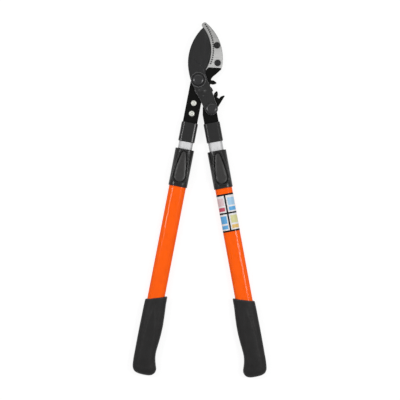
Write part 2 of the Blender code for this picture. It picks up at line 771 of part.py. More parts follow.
def build_left_shank(axis, finishes):
    """Lap behind the left arm, bolted to it, with the same oval shank as the right arm."""
    half = ARM_WIDTH / 2
    tongue = ARM_TONGUE_WIDTH / 2
    shoulder = LEFT_COLLAR_TOP - GAP
    foot = LEFT_COLLAR_TOP + COLLAR_ROOF + SHANK_HEAD
    top, corner = LAP_TOP_STATION, LAP_CORNER
    outline = [
        (half, -shoulder), (half, -top - corner), (half - corner, -top),
        (-half + corner, -top), (-half, -top - corner), (-half, -shoulder),
        (-tongue, -shoulder), (-tongue, -foot), (tongue, -foot), (tongue, -shoulder),
    ]
    shank = prism("left_shank", outline, LAP_BACK, -PLATE / 2 - GAP, axis, finishes["forged"], False)
    shank_solids(shank, "left_shank", LEFT_COLLAR_TOP, axis)
    radius = SCREW_RADIUS + GAP
    seat = LAP_BACK - GAP
    zinc = finishes["zinc"]
    for row, station in zip(ROWS, SHANK_BOLT_STATIONS):
        place = (0, -station)
        cut(shank, hole(f"shank_bolt_hole_{row}", radius, -THROUGH, THROUGH, place, axis, 12))
        socket_bolt(f"shank_bolt_{row}", place, PLATE / 2 + GAP, seat - SMALL_NUT - GAP, axis, zinc)
        nut(f"shank_nut_{row}", SMALL_NUT_ACROSS, seat - SMALL_NUT, seat, radius, place, axis, zinc)


# Telescopic handles


class Side:
    """What differs between the left and the right handle."""

    def __init__(self, name, axis, mirror, collar_top, shown_tube):
        self.name = name
        self.axis = axis
        self.mirror = mirror
        self.collar_top = collar_top
        self.sleeve_top = collar_top + COLLAR_LENGTH + shown_tube
        self.tube_top = collar_top + COLLAR_ROOF + GAP / 2 + SHANK_HEAD + GAP
        self.bushing_end = self.sleeve_top + SLEEVE_ROOF + GAP + BUSHING_FLANGE + BUSHING_LENGTH
        self.tube_end = self.bushing_end + TRAVEL + STOP_GAP
        self.grip_top = self.sleeve_top + SLEEVE_LENGTH + HANDLE_SHOWN
        self.pivot = self.sleeve_top + BUTTON_PIVOT_STATION


def build_collar(side, slot, finishes):
    """Moulded ferrule: closed roof with a slot for the arm, oval bore over the tube's end."""
    top, bottom = side.collar_top, side.collar_top + COLLAR_LENGTH
    outer = rounded_box(COLLAR_WIDTH, COLLAR_DEPTH, COLLAR_CORNER)
    eased = grown(outer, -EASE)
    stations = [(top, eased), (top + EASE, outer), (bottom - EASE, outer), (bottom, eased)]
    collar = along(f"{side.name}_collar", stations, side.axis, finishes["collar"])
    bore = inner_section(GAP)
    roof = top + COLLAR_ROOF
    cut(
        collar,
        along(f"{side.name}_collar_bore", [(roof, bore), (bottom + GAP, bore)], side.axis),
        along(f"{side.name}_collar_slot", [(top - GAP, slot), (roof + GAP, slot)], side.axis),
    )


def build_inner_tube(side, finishes):
    """Aluminium tube with the lock holes in its front, pinned to the shank, and its end glide."""
    name, axis = side.name, side.axis
    outer = inner_section(0)
    tube = pipe(f"{name}_inner_tube", side.tube_top, side.tube_end, outer, inner_bore(0), axis,
                finishes["aluminium"])
    first = side.sleeve_top + LOCK_PIN_STATION
    for i in range(LOCK_HOLE_COUNT):
        place = (0, -first - i * LOCK_HOLE_PITCH)
        drill = hole(f"{name}_lock_hole_{i}", LOCK_PIN_RADIUS + GAP, 0, INNER_DEPTH, place, axis, 12)
        cut(tube, drill)
    pin = side.tube_top - GAP + SHANK_PIN_STATION
    cut(tube, hole(f"{name}_tube_pin_hole", SHANK_PIN_RADIUS + GAP, -THROUGH, THROUGH, (0, -pin), axis, 12))
    half = INNER_DEPTH / 2
    ends = [(0, half), (SHANK_PIN_RADIUS, half), (SHANK_PIN_RADIUS, -half), (0, -half)]
    turned(f"{name}_shank_pin", ends, 12, (0, -pin), axis, finishes["zinc"])
    head = outer_bore(-GAP)
    plug = inner_bore(-GAP)
    face = side.tube_end + GAP
    glide = along(f"{name}_slide_plug", [(face, head), (face + GLIDE_HEAD, head)], axis,
                  finishes["nylon"])
    unite(glide, along(f"{name}_glide_plug", [(face - GLIDE_PLUG, plug), (face + GAP, plug)], axis))


def build_outer_tube(side, finishes):
    """Painted tube from the guide bushing's flange down into the grip."""
    name, axis = side.name, side.axis
    top = side.sleeve_top + SLEEVE_ROOF + GAP + BUSHING_FLANGE + GAP
    end = side.grip_top + GRIP_LENGTH - GRIP_HEEL - GAP
    tube = pipe(f"{name}_outer_tube", top, end, outer_section(0), outer_bore(0), axis,
                finishes["orange"])
    flange_top = side.sleeve_top + SLEEVE_ROOF + GAP
    flange_end = flange_top + BUSHING_FLANGE
    body = outer_bore(-GAP)
    bushing_body = along(f"{name}_guide_bushing", [
        (flange_top, outer_section(-GAP)), (flange_end, outer_section(-GAP))], axis,
        finishes["nylon"])
    unite(bushing_body, along(f"{name}_bushing_body", [
        (flange_end - GAP, body), (side.bushing_end, body)], axis))
    inner = inner_section(GAP)
    cut(bushing_body, along(f"{name}_bushing_bore", [
        (flange_top - GAP, inner), (side.bushing_end + GAP, inner)], axis))
    place = (0, -side.sleeve_top - LOCK_PIN_STATION)
    passage = LOCK_PIN_RADIUS + PIN_PASSAGE
    cut(tube, hole(f"{name}_tube_passage", passage, 0, OUTER_DEPTH, place, axis, 16))
    cut(bushing_body, hole(f"{name}_bushing_passage", passage, 0, OUTER_DEPTH, place, axis, 16))
    for i, station in enumerate(RIVET_STATIONS):
        spot = (0, -side.sleeve_top - station)
        drill = hole(f"{name}_rivet_hole_{i}", RIVET_RADIUS + GAP, -OUTER_DEPTH, 0, spot, axis, 12)
        cut(tube, drill)
        cut(bushing_body, drill)


def teardrop(extra):
    """The button's outline (x, distance from the sleeve's top), grown by extra, symmetrical in x."""
    top_radius = BUTTON_TOP_RADIUS + extra
    end_radius = BUTTON_END_RADIUS + extra
    top_centre = BUTTON_TOP + BUTTON_TOP_RADIUS
    end_centre = BUTTON_END - BUTTON_END_RADIUS
    lean = math.asin((end_radius - top_radius) / (end_centre - top_centre))
    points = []
    for i in range(TEARDROP_TOP_STEPS + 1):
        a = (lean + math.pi / 2) * (2 * i / TEARDROP_TOP_STEPS - 1)
        points.append((top_radius * math.sin(a), top_centre - top_radius * math.cos(a)))
    for i in range(TEARDROP_END_STEPS + 1):
        a = (math.pi / 2 - lean) * (1 - 2 * i / TEARDROP_END_STEPS)
        points.append((end_radius * math.sin(a), end_centre + end_radius * math.cos(a)))
    return points


def build_lock_sleeve(side, finishes):
    """Moulded sleeve over the tube's end with a raised rim round the button's pocket."""
    name, axis = side.name, side.axis
    top, bottom = side.sleeve_top, side.sleeve_top + SLEEVE_LENGTH
    outer = stadium(SLEEVE_WIDTH, SLEEVE_DEPTH, 9)
    eased = stadium(SLEEVE_WIDTH - 2 * EASE, SLEEVE_DEPTH - 2 * EASE, 9)
    stations = [(top, eased), (top + EASE, outer), (bottom - EASE, outer), (bottom, eased)]
    sleeve = along(f"{name}_lock_sleeve", stations, axis, finishes["sleeve"])
    rim = [(x, -top - s) for x, s in teardrop(BUTTON_GAP + BUTTON_RIM)]
    lip = [(x, -top - s) for x, s in teardrop(BUTTON_GAP + BUTTON_RIM - EASE)]
    levels = [(rim, INNER_DEPTH / 4), (rim, RIM_FACE - EASE), (lip, RIM_FACE)]
    boss = loft(f"{name}_rim", [[(x, y, z) for x, y in loop] for loop, z in levels], axis)
    unite(sleeve, boss)
    pocket = [(x, -top - s) for x, s in teardrop(BUTTON_GAP)]
    bore = outer_section(GAP)
    passage = inner_section(GAP)
    roof = top + SLEEVE_ROOF
    cut(
        sleeve,
        along(f"{name}_sleeve_bore", [(roof, bore), (bottom + GAP, bore)], axis),
        along(f"{name}_sleeve_mouth", [(top - GAP, passage), (roof + GAP, passage)], axis),
        prism(f"{name}_pocket", pocket, OUTER_FACE - 2 * GAP, RIM_FACE + GAP, axis),
        cross_pin(f"{name}_pin_bore", BUTTON_PIVOT_RADIUS + GAP, SLEEVE_WIDTH / 2, side.pivot, axis),
    )
    for row, station in zip(ROWS, RIVET_STATIONS):
        spot = (0, -top - station)
        drill = hole(f"{name}_sleeve_rivet_hole_{row}", RIVET_RADIUS + GAP, -OUTER_DEPTH, 0, spot, axis, 12)
        cut(sleeve, drill)
        face = -SLEEVE_FACE - GAP
        inside = -INNER_DEPTH / 2 - 2 * GAP
        profile = [
            (0, inside), (RIVET_RADIUS, inside), (RIVET_RADIUS, face), (RIVET_HEAD_RADIUS, face),
            (RIVET_HEAD_RADIUS * 0.7, face - RIVET_HEAD), (0, face - RIVET_HEAD),
        ]
        turned(f"{name}_sleeve_rivet_{row}", profile, 14, spot, axis, finishes["zinc"])


def cross_pin(name, radius, half_length, station, axis, finish=None):
    """A round bar along X through the button's pivot."""
    loops = []
    for x in (-half_length, half_length):
        loops.append([(x, -station + y, BUTTON_PIVOT_Z + z) for y, z in circle(radius, 12)])
    return loft(name, loops, axis, finish)


def button_floor(u):
    """Height of the button's underside above the tube axis, u from the pivot towards the top."""
    clear = OUTER_FACE + GAP
    return clear + (0 if u > 0 else -u * math.sin(BUTTON_PRESS))


def button_face(u):
    """Height of the button's upper edge: highest over the wide end, low at the narrow top."""
    span = BUTTON_PIVOT_STATION - BUTTON_TOP
    if u > 0:
        return BUTTON_PIVOT_Z + BUTTON_RISE - BUTTON_DROP * (u / span) ** 2
    return max(BUTTON_PIVOT_Z + BUTTON_RISE, button_floor(u) + BUTTON_SKIN)


def build_button(side, finishes):
    """Rocker in one moulding: crowned teardrop skin, relieved below so that it can tip."""
    name = side.name
    pivot = BUTTON_PIVOT_STATION
    frame = empty(f"{name}_button_axis", (0, -side.pivot, BUTTON_PIVOT_Z), 0, side.axis)
    shape = teardrop(0)
    inset = teardrop(-BUTTON_EDGE)
    crown = teardrop(-BUTTON_CROWN_INSET)
    levels = [(shape, button_floor, 0), (shape, button_face, -EASE),
              (inset, button_face, 0), (crown, button_face, BUTTON_CROWN)]
    loops = []
    for outline, height, extra in levels:
        loops.append([(x, pivot - s, height(pivot - s) + extra - BUTTON_PIVOT_Z) for x, s in outline])
    count = len(shape)
    faces = skin(loops)[2:]
    for base in (0, (len(loops) - 1) * count):
        faces += mirrored_cap(base, count)
    button = solid(f"{name}_lock_button", [v for loop in loops for v in loop], faces, frame,
                   finishes["button"])
    pin_y = pivot - LOCK_PIN_STATION
    spring_y = pivot - SPRING_STATION
    seat = OUTER_FACE + LOCK_PIN_SEAT - BUTTON_PIVOT_Z
    cup = OUTER_FACE + GAP + SPRING_LENGTH + GAP - BUTTON_PIVOT_Z
    floor = OUTER_FACE - BUTTON_PIVOT_Z - GAP
    bar = BUTTON_PIVOT_RADIUS + GAP
    loops = [[(x, y, z) for y, z in circle(bar, 12)] for x in (-SLEEVE_WIDTH / 2, SLEEVE_WIDTH / 2)]
    cut(
        button,
        hole(f"{name}_pin_seat", LOCK_PIN_RADIUS + GAP, floor, seat + GAP, (0, pin_y), frame, 14),
        hole(f"{name}_spring_cup", SPRING_CUP_RADIUS, floor, cup, (0, spring_y), frame, 14),
        loft(f"{name}_button_bore", loops, frame),
    )
    tip = INNER_DEPTH / 2 - INNER_WALL - LOCK_PIN_REACH - BUTTON_PIVOT_Z
    profile = [(0, seat), (LOCK_PIN_RADIUS, seat), (LOCK_PIN_RADIUS, tip + LOCK_PIN_TAPER),
               (LOCK_PIN_TIP_RADIUS, tip), (0, tip)]
    turned(f"{name}_lock_pin", profile, 16, (0, pin_y), frame, finishes["zinc"])
    half = BUTTON_END_RADIUS
    cross_pin(f"{name}_button_pin", BUTTON_PIVOT_RADIUS, half, side.pivot, side.axis,
              finishes["black_steel"])
    coil(f"{name}_lock_spring", (0, -side.sleeve_top - SPRING_STATION), side.axis, finishes["zinc"])


def mirrored_cap(base, count):
    """Cross strips over a loop whose points mirror each other left and right."""
    faces = []
    order = [base + (TEARDROP_TOP_STEPS // 2 + i) % count for i in range(count)]
    left, right = 1, count - 1
    faces.append((order[0], order[left], order[right]))
    while right - left > 2:
        faces.append((order[left], order[left + 1], order[right - 1], order[right]))
        left += 1
        right -= 1
    if right - left == 2:
        faces.append((order[left], order[left + 1], order[right]))
    return faces


def coil(name, centre, axis, finish, sides=5, per_turn=10):
    """A compression spring standing on the outer tube."""
    wire = SPRING_WIRE_RADIUS
    low = OUTER_FACE + GAP + wire
    rise = SPRING_LENGTH - 2 * wire
    rings = SPRING_TURNS * per_turn
    radius = SPRING_RADIUS - wire
    loops = []
    for i in range(rings + 1):
        a = 2 * math.pi * i / per_turn
        z = low + rise * i / rings
        loop = []
        for j in range(sides):
            b = 2 * math.pi * j / sides
            r = radius + wire * math.cos(b)
            loop.append((centre[0] + r * math.cos(a), centre[1] + r * math.sin(a), z + wire * math.sin(b)))
        loops.append(loop)
    return loft(name, loops, axis, finish)


def grip_section(inner, outer, half_depth, mirror, count=20):
    """A soft squared oval, wider towards the inner side of the handles."""
    points = []
    power = 2 / GRIP_SQUARENESS
    for i in range(count):
        a = 2 * math.pi * i / count
        c, s = round(math.cos(a), 9), round(math.sin(a), 9)
        reach = inner if c > 0 else outer
        x = math.copysign(abs(c) ** power, c) * reach if c else 0.0
        z = math.copysign(abs(s) ** power, s) * half_depth if s else 0.0
        points.append((mirror * x, z))
    return points


def build_grip(side, finishes):
    """Moulded grip: slanted mouth, swelling middle, waist and flared heel with a slanted end."""
    half_width = OUTER_WIDTH / 2
    half = GRIP_DEPTH / 2
    # Share of the length, wall on the inner side, wall on the outer side, drop below the full half depth
    waist = [
        (0.000, 0.0039, 0.0028, 0.0022),
        (0.006, 0.0046, 0.0035, 0.0014),
        (0.070, 0.0048, 0.0038, 0.0010),
        (0.279, 0.0059, 0.0042, 0.0006),
        (0.418, 0.0067, 0.0044, 0.0003),
        (0.578, 0.0058, 0.0043, 0.0004),
        (0.725, 0.0039, 0.0039, 0.0003),
        (0.822, 0.0039, 0.0036, 0.0000),
        (0.899, 0.0071, 0.0032, 0.0000),
        (0.941, 0.0088, 0.0026, 0.0003),
        (0.969, 0.0081, 0.0018, 0.0014),
        (0.986, 0.0058, 0.0000, 0.0040),
        (1.000, -0.0014, -0.0054, 0.0085),
    ]
    loops = []
    for share, inner, outer, drop in waist:
        distance = share * GRIP_LENGTH
        slope = GRIP_MOUTH_SLOPE + (GRIP_END_SLOPE - GRIP_MOUTH_SLOPE) * share
        loop = []
        for x, z in grip_section(half_width + inner, half_width + outer, half - drop, side.mirror):
            loop.append((x, -(side.grip_top + distance + slope * side.mirror * x), z))
        loops.append(loop)
    grip = loft(f"{side.name}_grip", loops, side.axis, finishes["grip"])
    bore = outer_section(GAP)
    top = side.grip_top - SLEEVE_WIDTH / 2
    end = side.grip_top + GRIP_LENGTH - GRIP_HEEL
    cut(grip, along(f"{side.name}_grip_bore", [(top, bore), (end, bore)], side.axis))


def collar_slot(lap):
    """The slot in the collar's roof: the arm's plate, and the lap behind it on the left."""
    half = ARM_WIDTH / 2 + GAP
    tongue = ARM_TONGUE_WIDTH / 2 + GAP
    face = PLATE / 2 + GAP
    if not lap:
        return [(half, -face), (half, face), (-half, face), (-half, -face)]
    back = LAP_BACK - GAP
    return [(half, -face), (half, face), (-half, face), (-half, -face),
            (-tongue, -face), (-tongue, back), (tongue, back), (tongue, -face)]


def build_handle(side, slot, finishes):
    build_collar(side, slot, finishes)
    build_inner_tube(side, finishes)
    build_outer_tube(side, finishes)
    build_lock_sleeve(side, finishes)
    build_button(side, finishes)
    build_grip(side, finishes)


def all_finishes():
    return {
        "forged": material("forged_black", (0.012, 0.012, 0.012), 0.45, 0.6),
        "blade": material("blade_coating", (0.036, 0.036, 0.037), 0.42, 0.5),
        "bright": material("ground_steel", (0.52, 0.52, 0.52), 0.35, 0.9),
        "black_steel": material("black_oxide", (0.015, 0.015, 0.015), 0.4, 0.7),
        "dark_steel": material("pivot_steel", (0.045, 0.045, 0.046), 0.35, 0.8),
        "zinc": material("zinc_plate", (0.62, 0.63, 0.60), 0.3, 1.0),
        "bronze": material("bronze", (0.42, 0.24, 0.09), 0.4, 1.0),
        "aluminium": material("aluminium", (0.66, 0.67, 0.68), 0.3, 1.0),
        "orange": material("orange_paint", (1.0, 0.105, 0.0), 0.28, 0.0),
        "collar": material("collar_plastic", (0.037, 0.037, 0.037), 0.4, 0.0),
        "sleeve": material("sleeve_plastic", (0.052, 0.050, 0.049), 0.38, 0.0),
        "button": material("button_plastic", (0.060, 0.059, 0.058), 0.36, 0.0),
        "nylon": material("glide_nylon", (0.02, 0.02, 0.02), 0.5, 0.0),
        "grip": material("grip_rubber", (0.028, 0.027, 0.027), 0.6, 0.0),
    }


def build():
    remove_everything()
    finishes = all_finishes()
    head = empty("head_axis", (MAIN_PIVOT_X, MAIN_PIVOT_Y, MID_PLANE))
    blade_axis = empty("blade_axis", (MAIN_PIVOT_X, MAIN_PIVOT_Y, MID_PLANE))
    arm_place = (MAIN_PIVOT_X + ARM_PIVOT.x, MAIN_PIVOT_Y + ARM_PIVOT.y, MID_PLANE)
    arm_axis = empty("arm_axis", arm_place)
    left_axis = empty("left_tube_axis", (0, 0, 0), LEFT_TILT, head)
    right_axis = empty("right_tube_axis", (*(right_axis_origin() - ARM_PIVOT), 0), RIGHT_TILT, arm_axis)
    build_hook(head, finishes)
    build_counter_blade(head, finishes)
    build_blade(blade_axis, finishes)
    build_gear_arm(arm_axis, right_axis, finishes)
    build_left_shank(left_axis, finishes)
    left = Side("left", left_axis, 1, LEFT_COLLAR_TOP, LEFT_SHOWN_TUBE)
    right = Side("right", right_axis, -1, RIGHT_COLLAR_TOP, RIGHT_SHOWN_TUBE)
    build_handle(left, collar_slot(True), finishes)
    build_handle(right, collar_slot(False), finishes)


build()
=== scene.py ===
"""Looks of the telescopic lopper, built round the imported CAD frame.

Metres, the same frame as the CAD: X across, Y from the grips to the jaws, Z up out of the front.
"""

import json
import math

import bmesh
import bpy
from mathutils import Matrix, Vector


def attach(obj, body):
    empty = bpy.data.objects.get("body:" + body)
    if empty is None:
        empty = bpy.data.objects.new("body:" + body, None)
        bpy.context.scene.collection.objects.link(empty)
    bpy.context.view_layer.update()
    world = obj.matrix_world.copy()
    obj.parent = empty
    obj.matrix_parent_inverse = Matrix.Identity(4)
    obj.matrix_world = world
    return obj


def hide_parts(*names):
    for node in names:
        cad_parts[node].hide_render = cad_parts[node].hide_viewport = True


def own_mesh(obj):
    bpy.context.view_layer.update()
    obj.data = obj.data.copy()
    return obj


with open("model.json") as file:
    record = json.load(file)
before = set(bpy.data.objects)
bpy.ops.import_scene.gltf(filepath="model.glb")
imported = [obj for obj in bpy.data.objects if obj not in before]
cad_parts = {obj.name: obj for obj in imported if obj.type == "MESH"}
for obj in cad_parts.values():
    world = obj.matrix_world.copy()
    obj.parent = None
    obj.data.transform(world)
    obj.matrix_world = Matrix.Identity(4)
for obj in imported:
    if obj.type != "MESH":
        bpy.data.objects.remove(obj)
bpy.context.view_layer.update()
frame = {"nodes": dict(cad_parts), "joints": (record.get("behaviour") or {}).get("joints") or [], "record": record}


# Stage: camera straight above, pale floor, soft studio light

PHOTO_CENTRE = Vector((0.0007, 0.0010, 0.015))
PHOTO_WIDTH = 0.76
CAMERA_HEIGHT = 3.0
SENSOR = 36
CLIP = (0.1, 20)
WHITE = (1, 1, 1, 1)
WORLD_LIGHT = 0.40
FLOOR_HALF = 6
FLOOR_DROP = 0.0006
FLOOR_PAINT = (0.85, 0.85, 0.85, 1)
FLOOR_SHADE = (0.22, 0.22, 0.22, 1)
FLOOR_GLOW = 0.84


def make_camera():
    data = bpy.data.cameras.new("camera")
    data.sensor_width = SENSOR
    data.lens = SENSOR * CAMERA_HEIGHT / PHOTO_WIDTH
    data.clip_start, data.clip_end = CLIP
    camera = bpy.data.objects.new("camera", data)
    camera.location = PHOTO_CENTRE + Vector((0, 0, CAMERA_HEIGHT))
    bpy.context.scene.collection.objects.link(camera)
    bpy.context.scene.camera = camera


def area_light(name, place, target, size, power):
    data = bpy.data.lights.new(name, "AREA")
    data.shape = "RECTANGLE"
    data.size, data.size_y = size
    data.energy = power
    lamp = bpy.data.objects.new(name, data)
    lamp.location = place
    lamp.rotation_mode = "QUATERNION"
    lamp.rotation_quaternion = (Vector(target) - Vector(place)).to_track_quat("-Z", "Y")
    bpy.context.scene.collection.objects.link(lamp)


def seen_directly(tree):
    """1 for what the camera, a mirror or a glass sees, else 0."""
    path = tree.nodes.new("ShaderNodeLightPath")
    seen = path.outputs["Is Camera Ray"]
    for ray in ("Is Glossy Ray", "Is Transmission Ray"):
        either = tree.nodes.new("ShaderNodeMath")
        either.operation = "MAXIMUM"
        tree.links.new(seen, either.inputs[0])
        tree.links.new(path.outputs[ray], either.inputs[1])
        seen = either.outputs[0]
    return seen


def shader_node(tree, kind, **values):
    """A new node with numbers set on its inputs."""
    node = tree.nodes.new(kind)
    for name, value in values.items():
        node.inputs[name].default_value = value
    return node


def show_two(tree, out, plain, seen):
    """Gives light the plain shader, and what looks at it directly the seen one."""
    mix = tree.nodes.new("ShaderNodeMixShader")
    tree.links.new(seen_directly(tree), mix.inputs["Fac"])
    tree.links.new(plain.outputs[0], mix.inputs[1])
    tree.links.new(seen.outputs[0], mix.inputs[2])
    tree.links.new(mix.outputs[0], out.inputs["Surface"])


def make_world():
    world = bpy.data.worlds.new("studio")
    bpy.context.scene.world = world
    world.use_nodes = True
    tree = world.node_tree
    tree.nodes.clear()
    out = tree.nodes.new("ShaderNodeOutputWorld")
    plain = shader_node(tree, "ShaderNodeBackground", Color=WHITE, Strength=WORLD_LIGHT)
    white = shader_node(tree, "ShaderNodeBackground", Color=WHITE, Strength=1.0)
    show_two(tree, out, plain, white)


def make_floor():
    mesh = bpy.data.meshes.new("floor")
    corners = ((-1, -1), (1, -1), (1, 1), (-1, 1))
    mesh.from_pydata([(x * FLOOR_HALF, y * FLOOR_HALF, 0) for x, y in corners], [], [(0, 1, 2, 3)])
    floor = bpy.data.objects.new("floor", mesh)
    floor.location.z = -FLOOR_DROP
    bpy.context.scene.collection.objects.link(floor)
    paint = bpy.data.materials.new("floor_white")
    paint.use_nodes = True
    tree = paint.node_tree
    tree.nodes.clear()
    out = tree.nodes.new("ShaderNodeOutputMaterial")
    body = shader_node(tree, "ShaderNodeBsdfDiffuse", Color=FLOOR_PAINT)
    shade = shader_node(tree, "ShaderNodeBsdfDiffuse", Color=FLOOR_SHADE)
    glow = shader_node(tree, "ShaderNodeEmission", Color=WHITE, Strength=FLOOR_GLOW)
    both = tree.nodes.new("ShaderNodeAddShader")
    tree.links.new(shade.outputs[0], both.inputs[0])
    tree.links.new(glow.outputs[0], both.inputs[1])
    show_two(tree, out, body, both)
    mesh.materials.append(paint)


make_camera()
make_world()
make_floor()
area_light("key_left", place=(-1.15, 0.27, 1.7), target=(0, 0.05, 0), size=(0.34, 0.46), power=12.5)
area_light("key_right", place=(1.08, 0, 1.7), target=(0, 0, 0), size=(0.27, 0.86), power=15)
area_light("top_soft", place=(0, 1.3, 1.6), target=(0, 0.1, 0), size=(1.6, 0.8), power=5)

view = bpy.context.scene.view_settings
view.view_transform = "Standard"


# Surfaces. Lengths in metres: a noise scale of 1000 has grains of about 1 mm

BLACK = (0, 0, 0, 1)
EVEN = (1, 1, 1)
WEAR_SAMPLES = 6
CREASE_SHADE_SAMPLES = 8
OPEN_RANGE = (0.45, 0.92)
NOISE_RANGE = (0.3, 0.7)
PATCH_DETAIL = 3.0


class Surface:
    """One procedural material, with short calls for the nodes that it is made of."""

    def __init__(self, name, metallic=0.0, specular=0.5):
        self.material = bpy.data.materials.new(name)
        self.material.use_nodes = True
        self.tree = self.material.node_tree
        self.shader = self.tree.nodes["Principled BSDF"]
        self.shader.inputs["Metallic"].default_value = metallic
        self.shader.inputs["Specular IOR Level"].default_value = specular
        self.place = self.add("ShaderNodeTexCoord").outputs["Object"]

    def add(self, kind, **settings):
        node = self.tree.nodes.new(kind)
        for key, value in settings.items():
            setattr(node, key, value)
        return node

    def feed(self, node, **inputs):
        """Links sockets and sets numbers on a node's inputs, by name or by place such as i0."""
        for key, value in inputs.items():
            socket = node.inputs[int(key[1:])] if key[1:].isdigit() else node.inputs[key]
            if isinstance(value, bpy.types.NodeSocket):
                self.tree.links.new(value, socket)
            else:
                socket.default_value = value
        return node

    def noise(self, scale, detail=2.0, turn=0.0, stretch=EVEN):
        place = self.place
        if turn or stretch != EVEN:
            mapping = self.feed(self.add("ShaderNodeMapping"), Vector=place, Scale=stretch)
            mapping.inputs["Rotation"].default_value = (0, 0, turn)
            place = mapping.outputs[0]
        node = self.feed(self.add("ShaderNodeTexNoise"), Vector=place, Scale=scale, Detail=detail)
        return node.outputs["Fac"]

    def ranged(self, value, low, high, out_low=0.0, out_high=1.0):
        node = self.add("ShaderNodeMapRange", clamp=True)
        self.feed(node, i0=value, i1=low, i2=high, i3=out_low, i4=out_high)
        return node.outputs[0]

    def math(self, operation, a, b=0.0):
        return self.feed(self.add("ShaderNodeMath", operation=operation), i0=a, i1=b).outputs[0]

    def mix(self, share, first, second):
        node = self.add("ShaderNodeMix", data_type="RGBA")
        self.feed(node, i0=share, i6=first, i7=second)
        return node.outputs[2]

    # Finds edges for paler tones: scuffing on some finishes, a painted highlight on others
    def edge_mask(self, radius, tight=0.985, loose=0.80):
        """1 on convex edges and in creases that are tighter than the radius, else 0."""
        soft = self.feed(self.add("ShaderNodeBevel", samples=WEAR_SAMPLES), Radius=radius)
        hard = self.add("ShaderNodeNewGeometry")
        dot = self.add("ShaderNodeVectorMath", operation="DOT_PRODUCT")
        self.feed(dot, i0=soft.outputs[0], i1=hard.outputs["Normal"])
        return self.ranged(dot.outputs["Value"], loose, tight, 1.0, 0.0)

    def broken_up(self, edge_share, scale, detail, spots, strength):
        """The edge share, broken up by noise: spots is the noise's range, strength its least and most."""
        share = self.ranged(self.noise(scale, detail), *spots, *strength)
        return self.math("MULTIPLY", edge_share, share)

    def along(self):
        """Height on the part, towards the jaws."""
        return self.feed(self.add("ShaderNodeSeparateXYZ"), Vector=self.place).outputs["Y"]

    def finish_colour(self, tone, reach=0.0010, darkest=0.12):
        """Gives the shader its colour, with painted shade in creases and along the seams between pieces."""
        # Painted shade: ambient occlusion darkens the base colour in creases and where pieces meet
        crease_shade = self.add("ShaderNodeAmbientOcclusion", samples=CREASE_SHADE_SAMPLES)
        self.feed(crease_shade, Distance=reach)
        share = self.ranged(crease_shade.outputs["AO"], *OPEN_RANGE, darkest, 1.0)
        self.feed(self.shader, **{"Base Color": self.mix(share, BLACK, tone)})

    def colour(self, tone, spread, scale, stretch=EVEN, turn=0.0):
        """The colour with lighter and darker patches: spread is the share either way."""
        dark = tuple(c * (1 - spread) for c in tone) + (1,)
        light = tuple(min(1, c * (1 + spread)) for c in tone) + (1,)
        patches = self.ranged(self.noise(scale, PATCH_DETAIL, turn, stretch), *NOISE_RANGE)
        return self.mix(patches, dark, light)

    def grain(self, *layers):
        """Bump from layers of noise, each (scale, height in metres, stretch, turn)."""
        normal = None
        for scale, height, stretch, turn in layers:
            bump = self.feed(self.add("ShaderNodeBump"), Distance=height, Strength=1.0)
            self.feed(bump, Height=self.noise(scale, 2.0, turn, stretch))
            if normal:
                self.feed(bump, Normal=normal)
            normal = bump.outputs[0]
        self.feed(self.shader, Normal=normal)

    def rough(self, low, high, scale, stretch=EVEN, turn=0.0):
        noise = self.noise(scale, PATCH_DETAIL, turn, stretch)
        self.feed(self.shader, Roughness=self.ranged(noise, *NOISE_RANGE, low, high))


LINK_TOP = 0.236
LINK_FADE = 0.02
FADED_EDGES = 0.25
STAIN_START = 0.272
STAIN_END = 0.312
STAIN_SHARE = 0.5
BLADE_GRIND_TURN = 0.2
COUNTER_GRIND_TURN = 0.5
# Reach and darkest share of the painted crease shade on the blade and the counter blade
BLADE_CREASE_SHADE = (0.0026, 0.02)
COUNTER_CREASE_SHADE = (0.0022, 0.02)
DRAWN = (1, 0.02, 1)
# How gentle a bend still gets the grip's painted sheen
SHEEN_BENDS = (0.9995, 0.985)


def forged_black():
    """Black coat over a forging: fine scale, slightly scuffed paler edges."""
    made = Surface("forged_black", specular=0.045)
    base = made.colour((0.0036, 0.0036, 0.0034), 0.25, 160)
    pale_edges = made.broken_up(made.edge_mask(0.0006), 420, 4.0, spots=(0.42, 0.62), strength=(0.1, 0.9))
    made.finish_colour(made.mix(pale_edges, base, (0.05, 0.049, 0.048, 1)))
    made.rough(0.36, 0.52, 220)
    made.grain((900, 0.00002, EVEN, 0), (190, 0.00005, EVEN, 0))
    return made.material


def blade_coating():
    """Dark grey slippery coat with faint grinding lines under it, and paler edges that are partly scuffing and
    partly a painted highlight.
    """
    made = Surface("blade_coating", specular=0.2)
    base = made.colour((0.0125, 0.0125, 0.0128), 0.16, 90, (1, 0.25, 1), BLADE_GRIND_TURN)
    # Paler edges: partly scuffing, partly a painted highlight along the link's edges and round the pivot boss,
    # fainter above the link
    pale_edges = made.broken_up(made.edge_mask(0.0011), 500, 4.0, spots=(0.3, 0.6), strength=(0.35, 1.0))
    fade = made.ranged(made.along(), LINK_TOP, LINK_TOP + LINK_FADE, 1.0, FADED_EDGES)
    pale_edges = made.math("MULTIPLY", pale_edges, fade)
    made.finish_colour(made.mix(pale_edges, base, (0.42, 0.42, 0.43, 1)), *BLADE_CREASE_SHADE)
    made.rough(0.27, 0.38, 300, (1, 0.12, 1), BLADE_GRIND_TURN)
    made.grain((2600, 0.000008, (1, 0.06, 1), BLADE_GRIND_TURN), (1300, 0.000012, EVEN, 0))
    return made.material


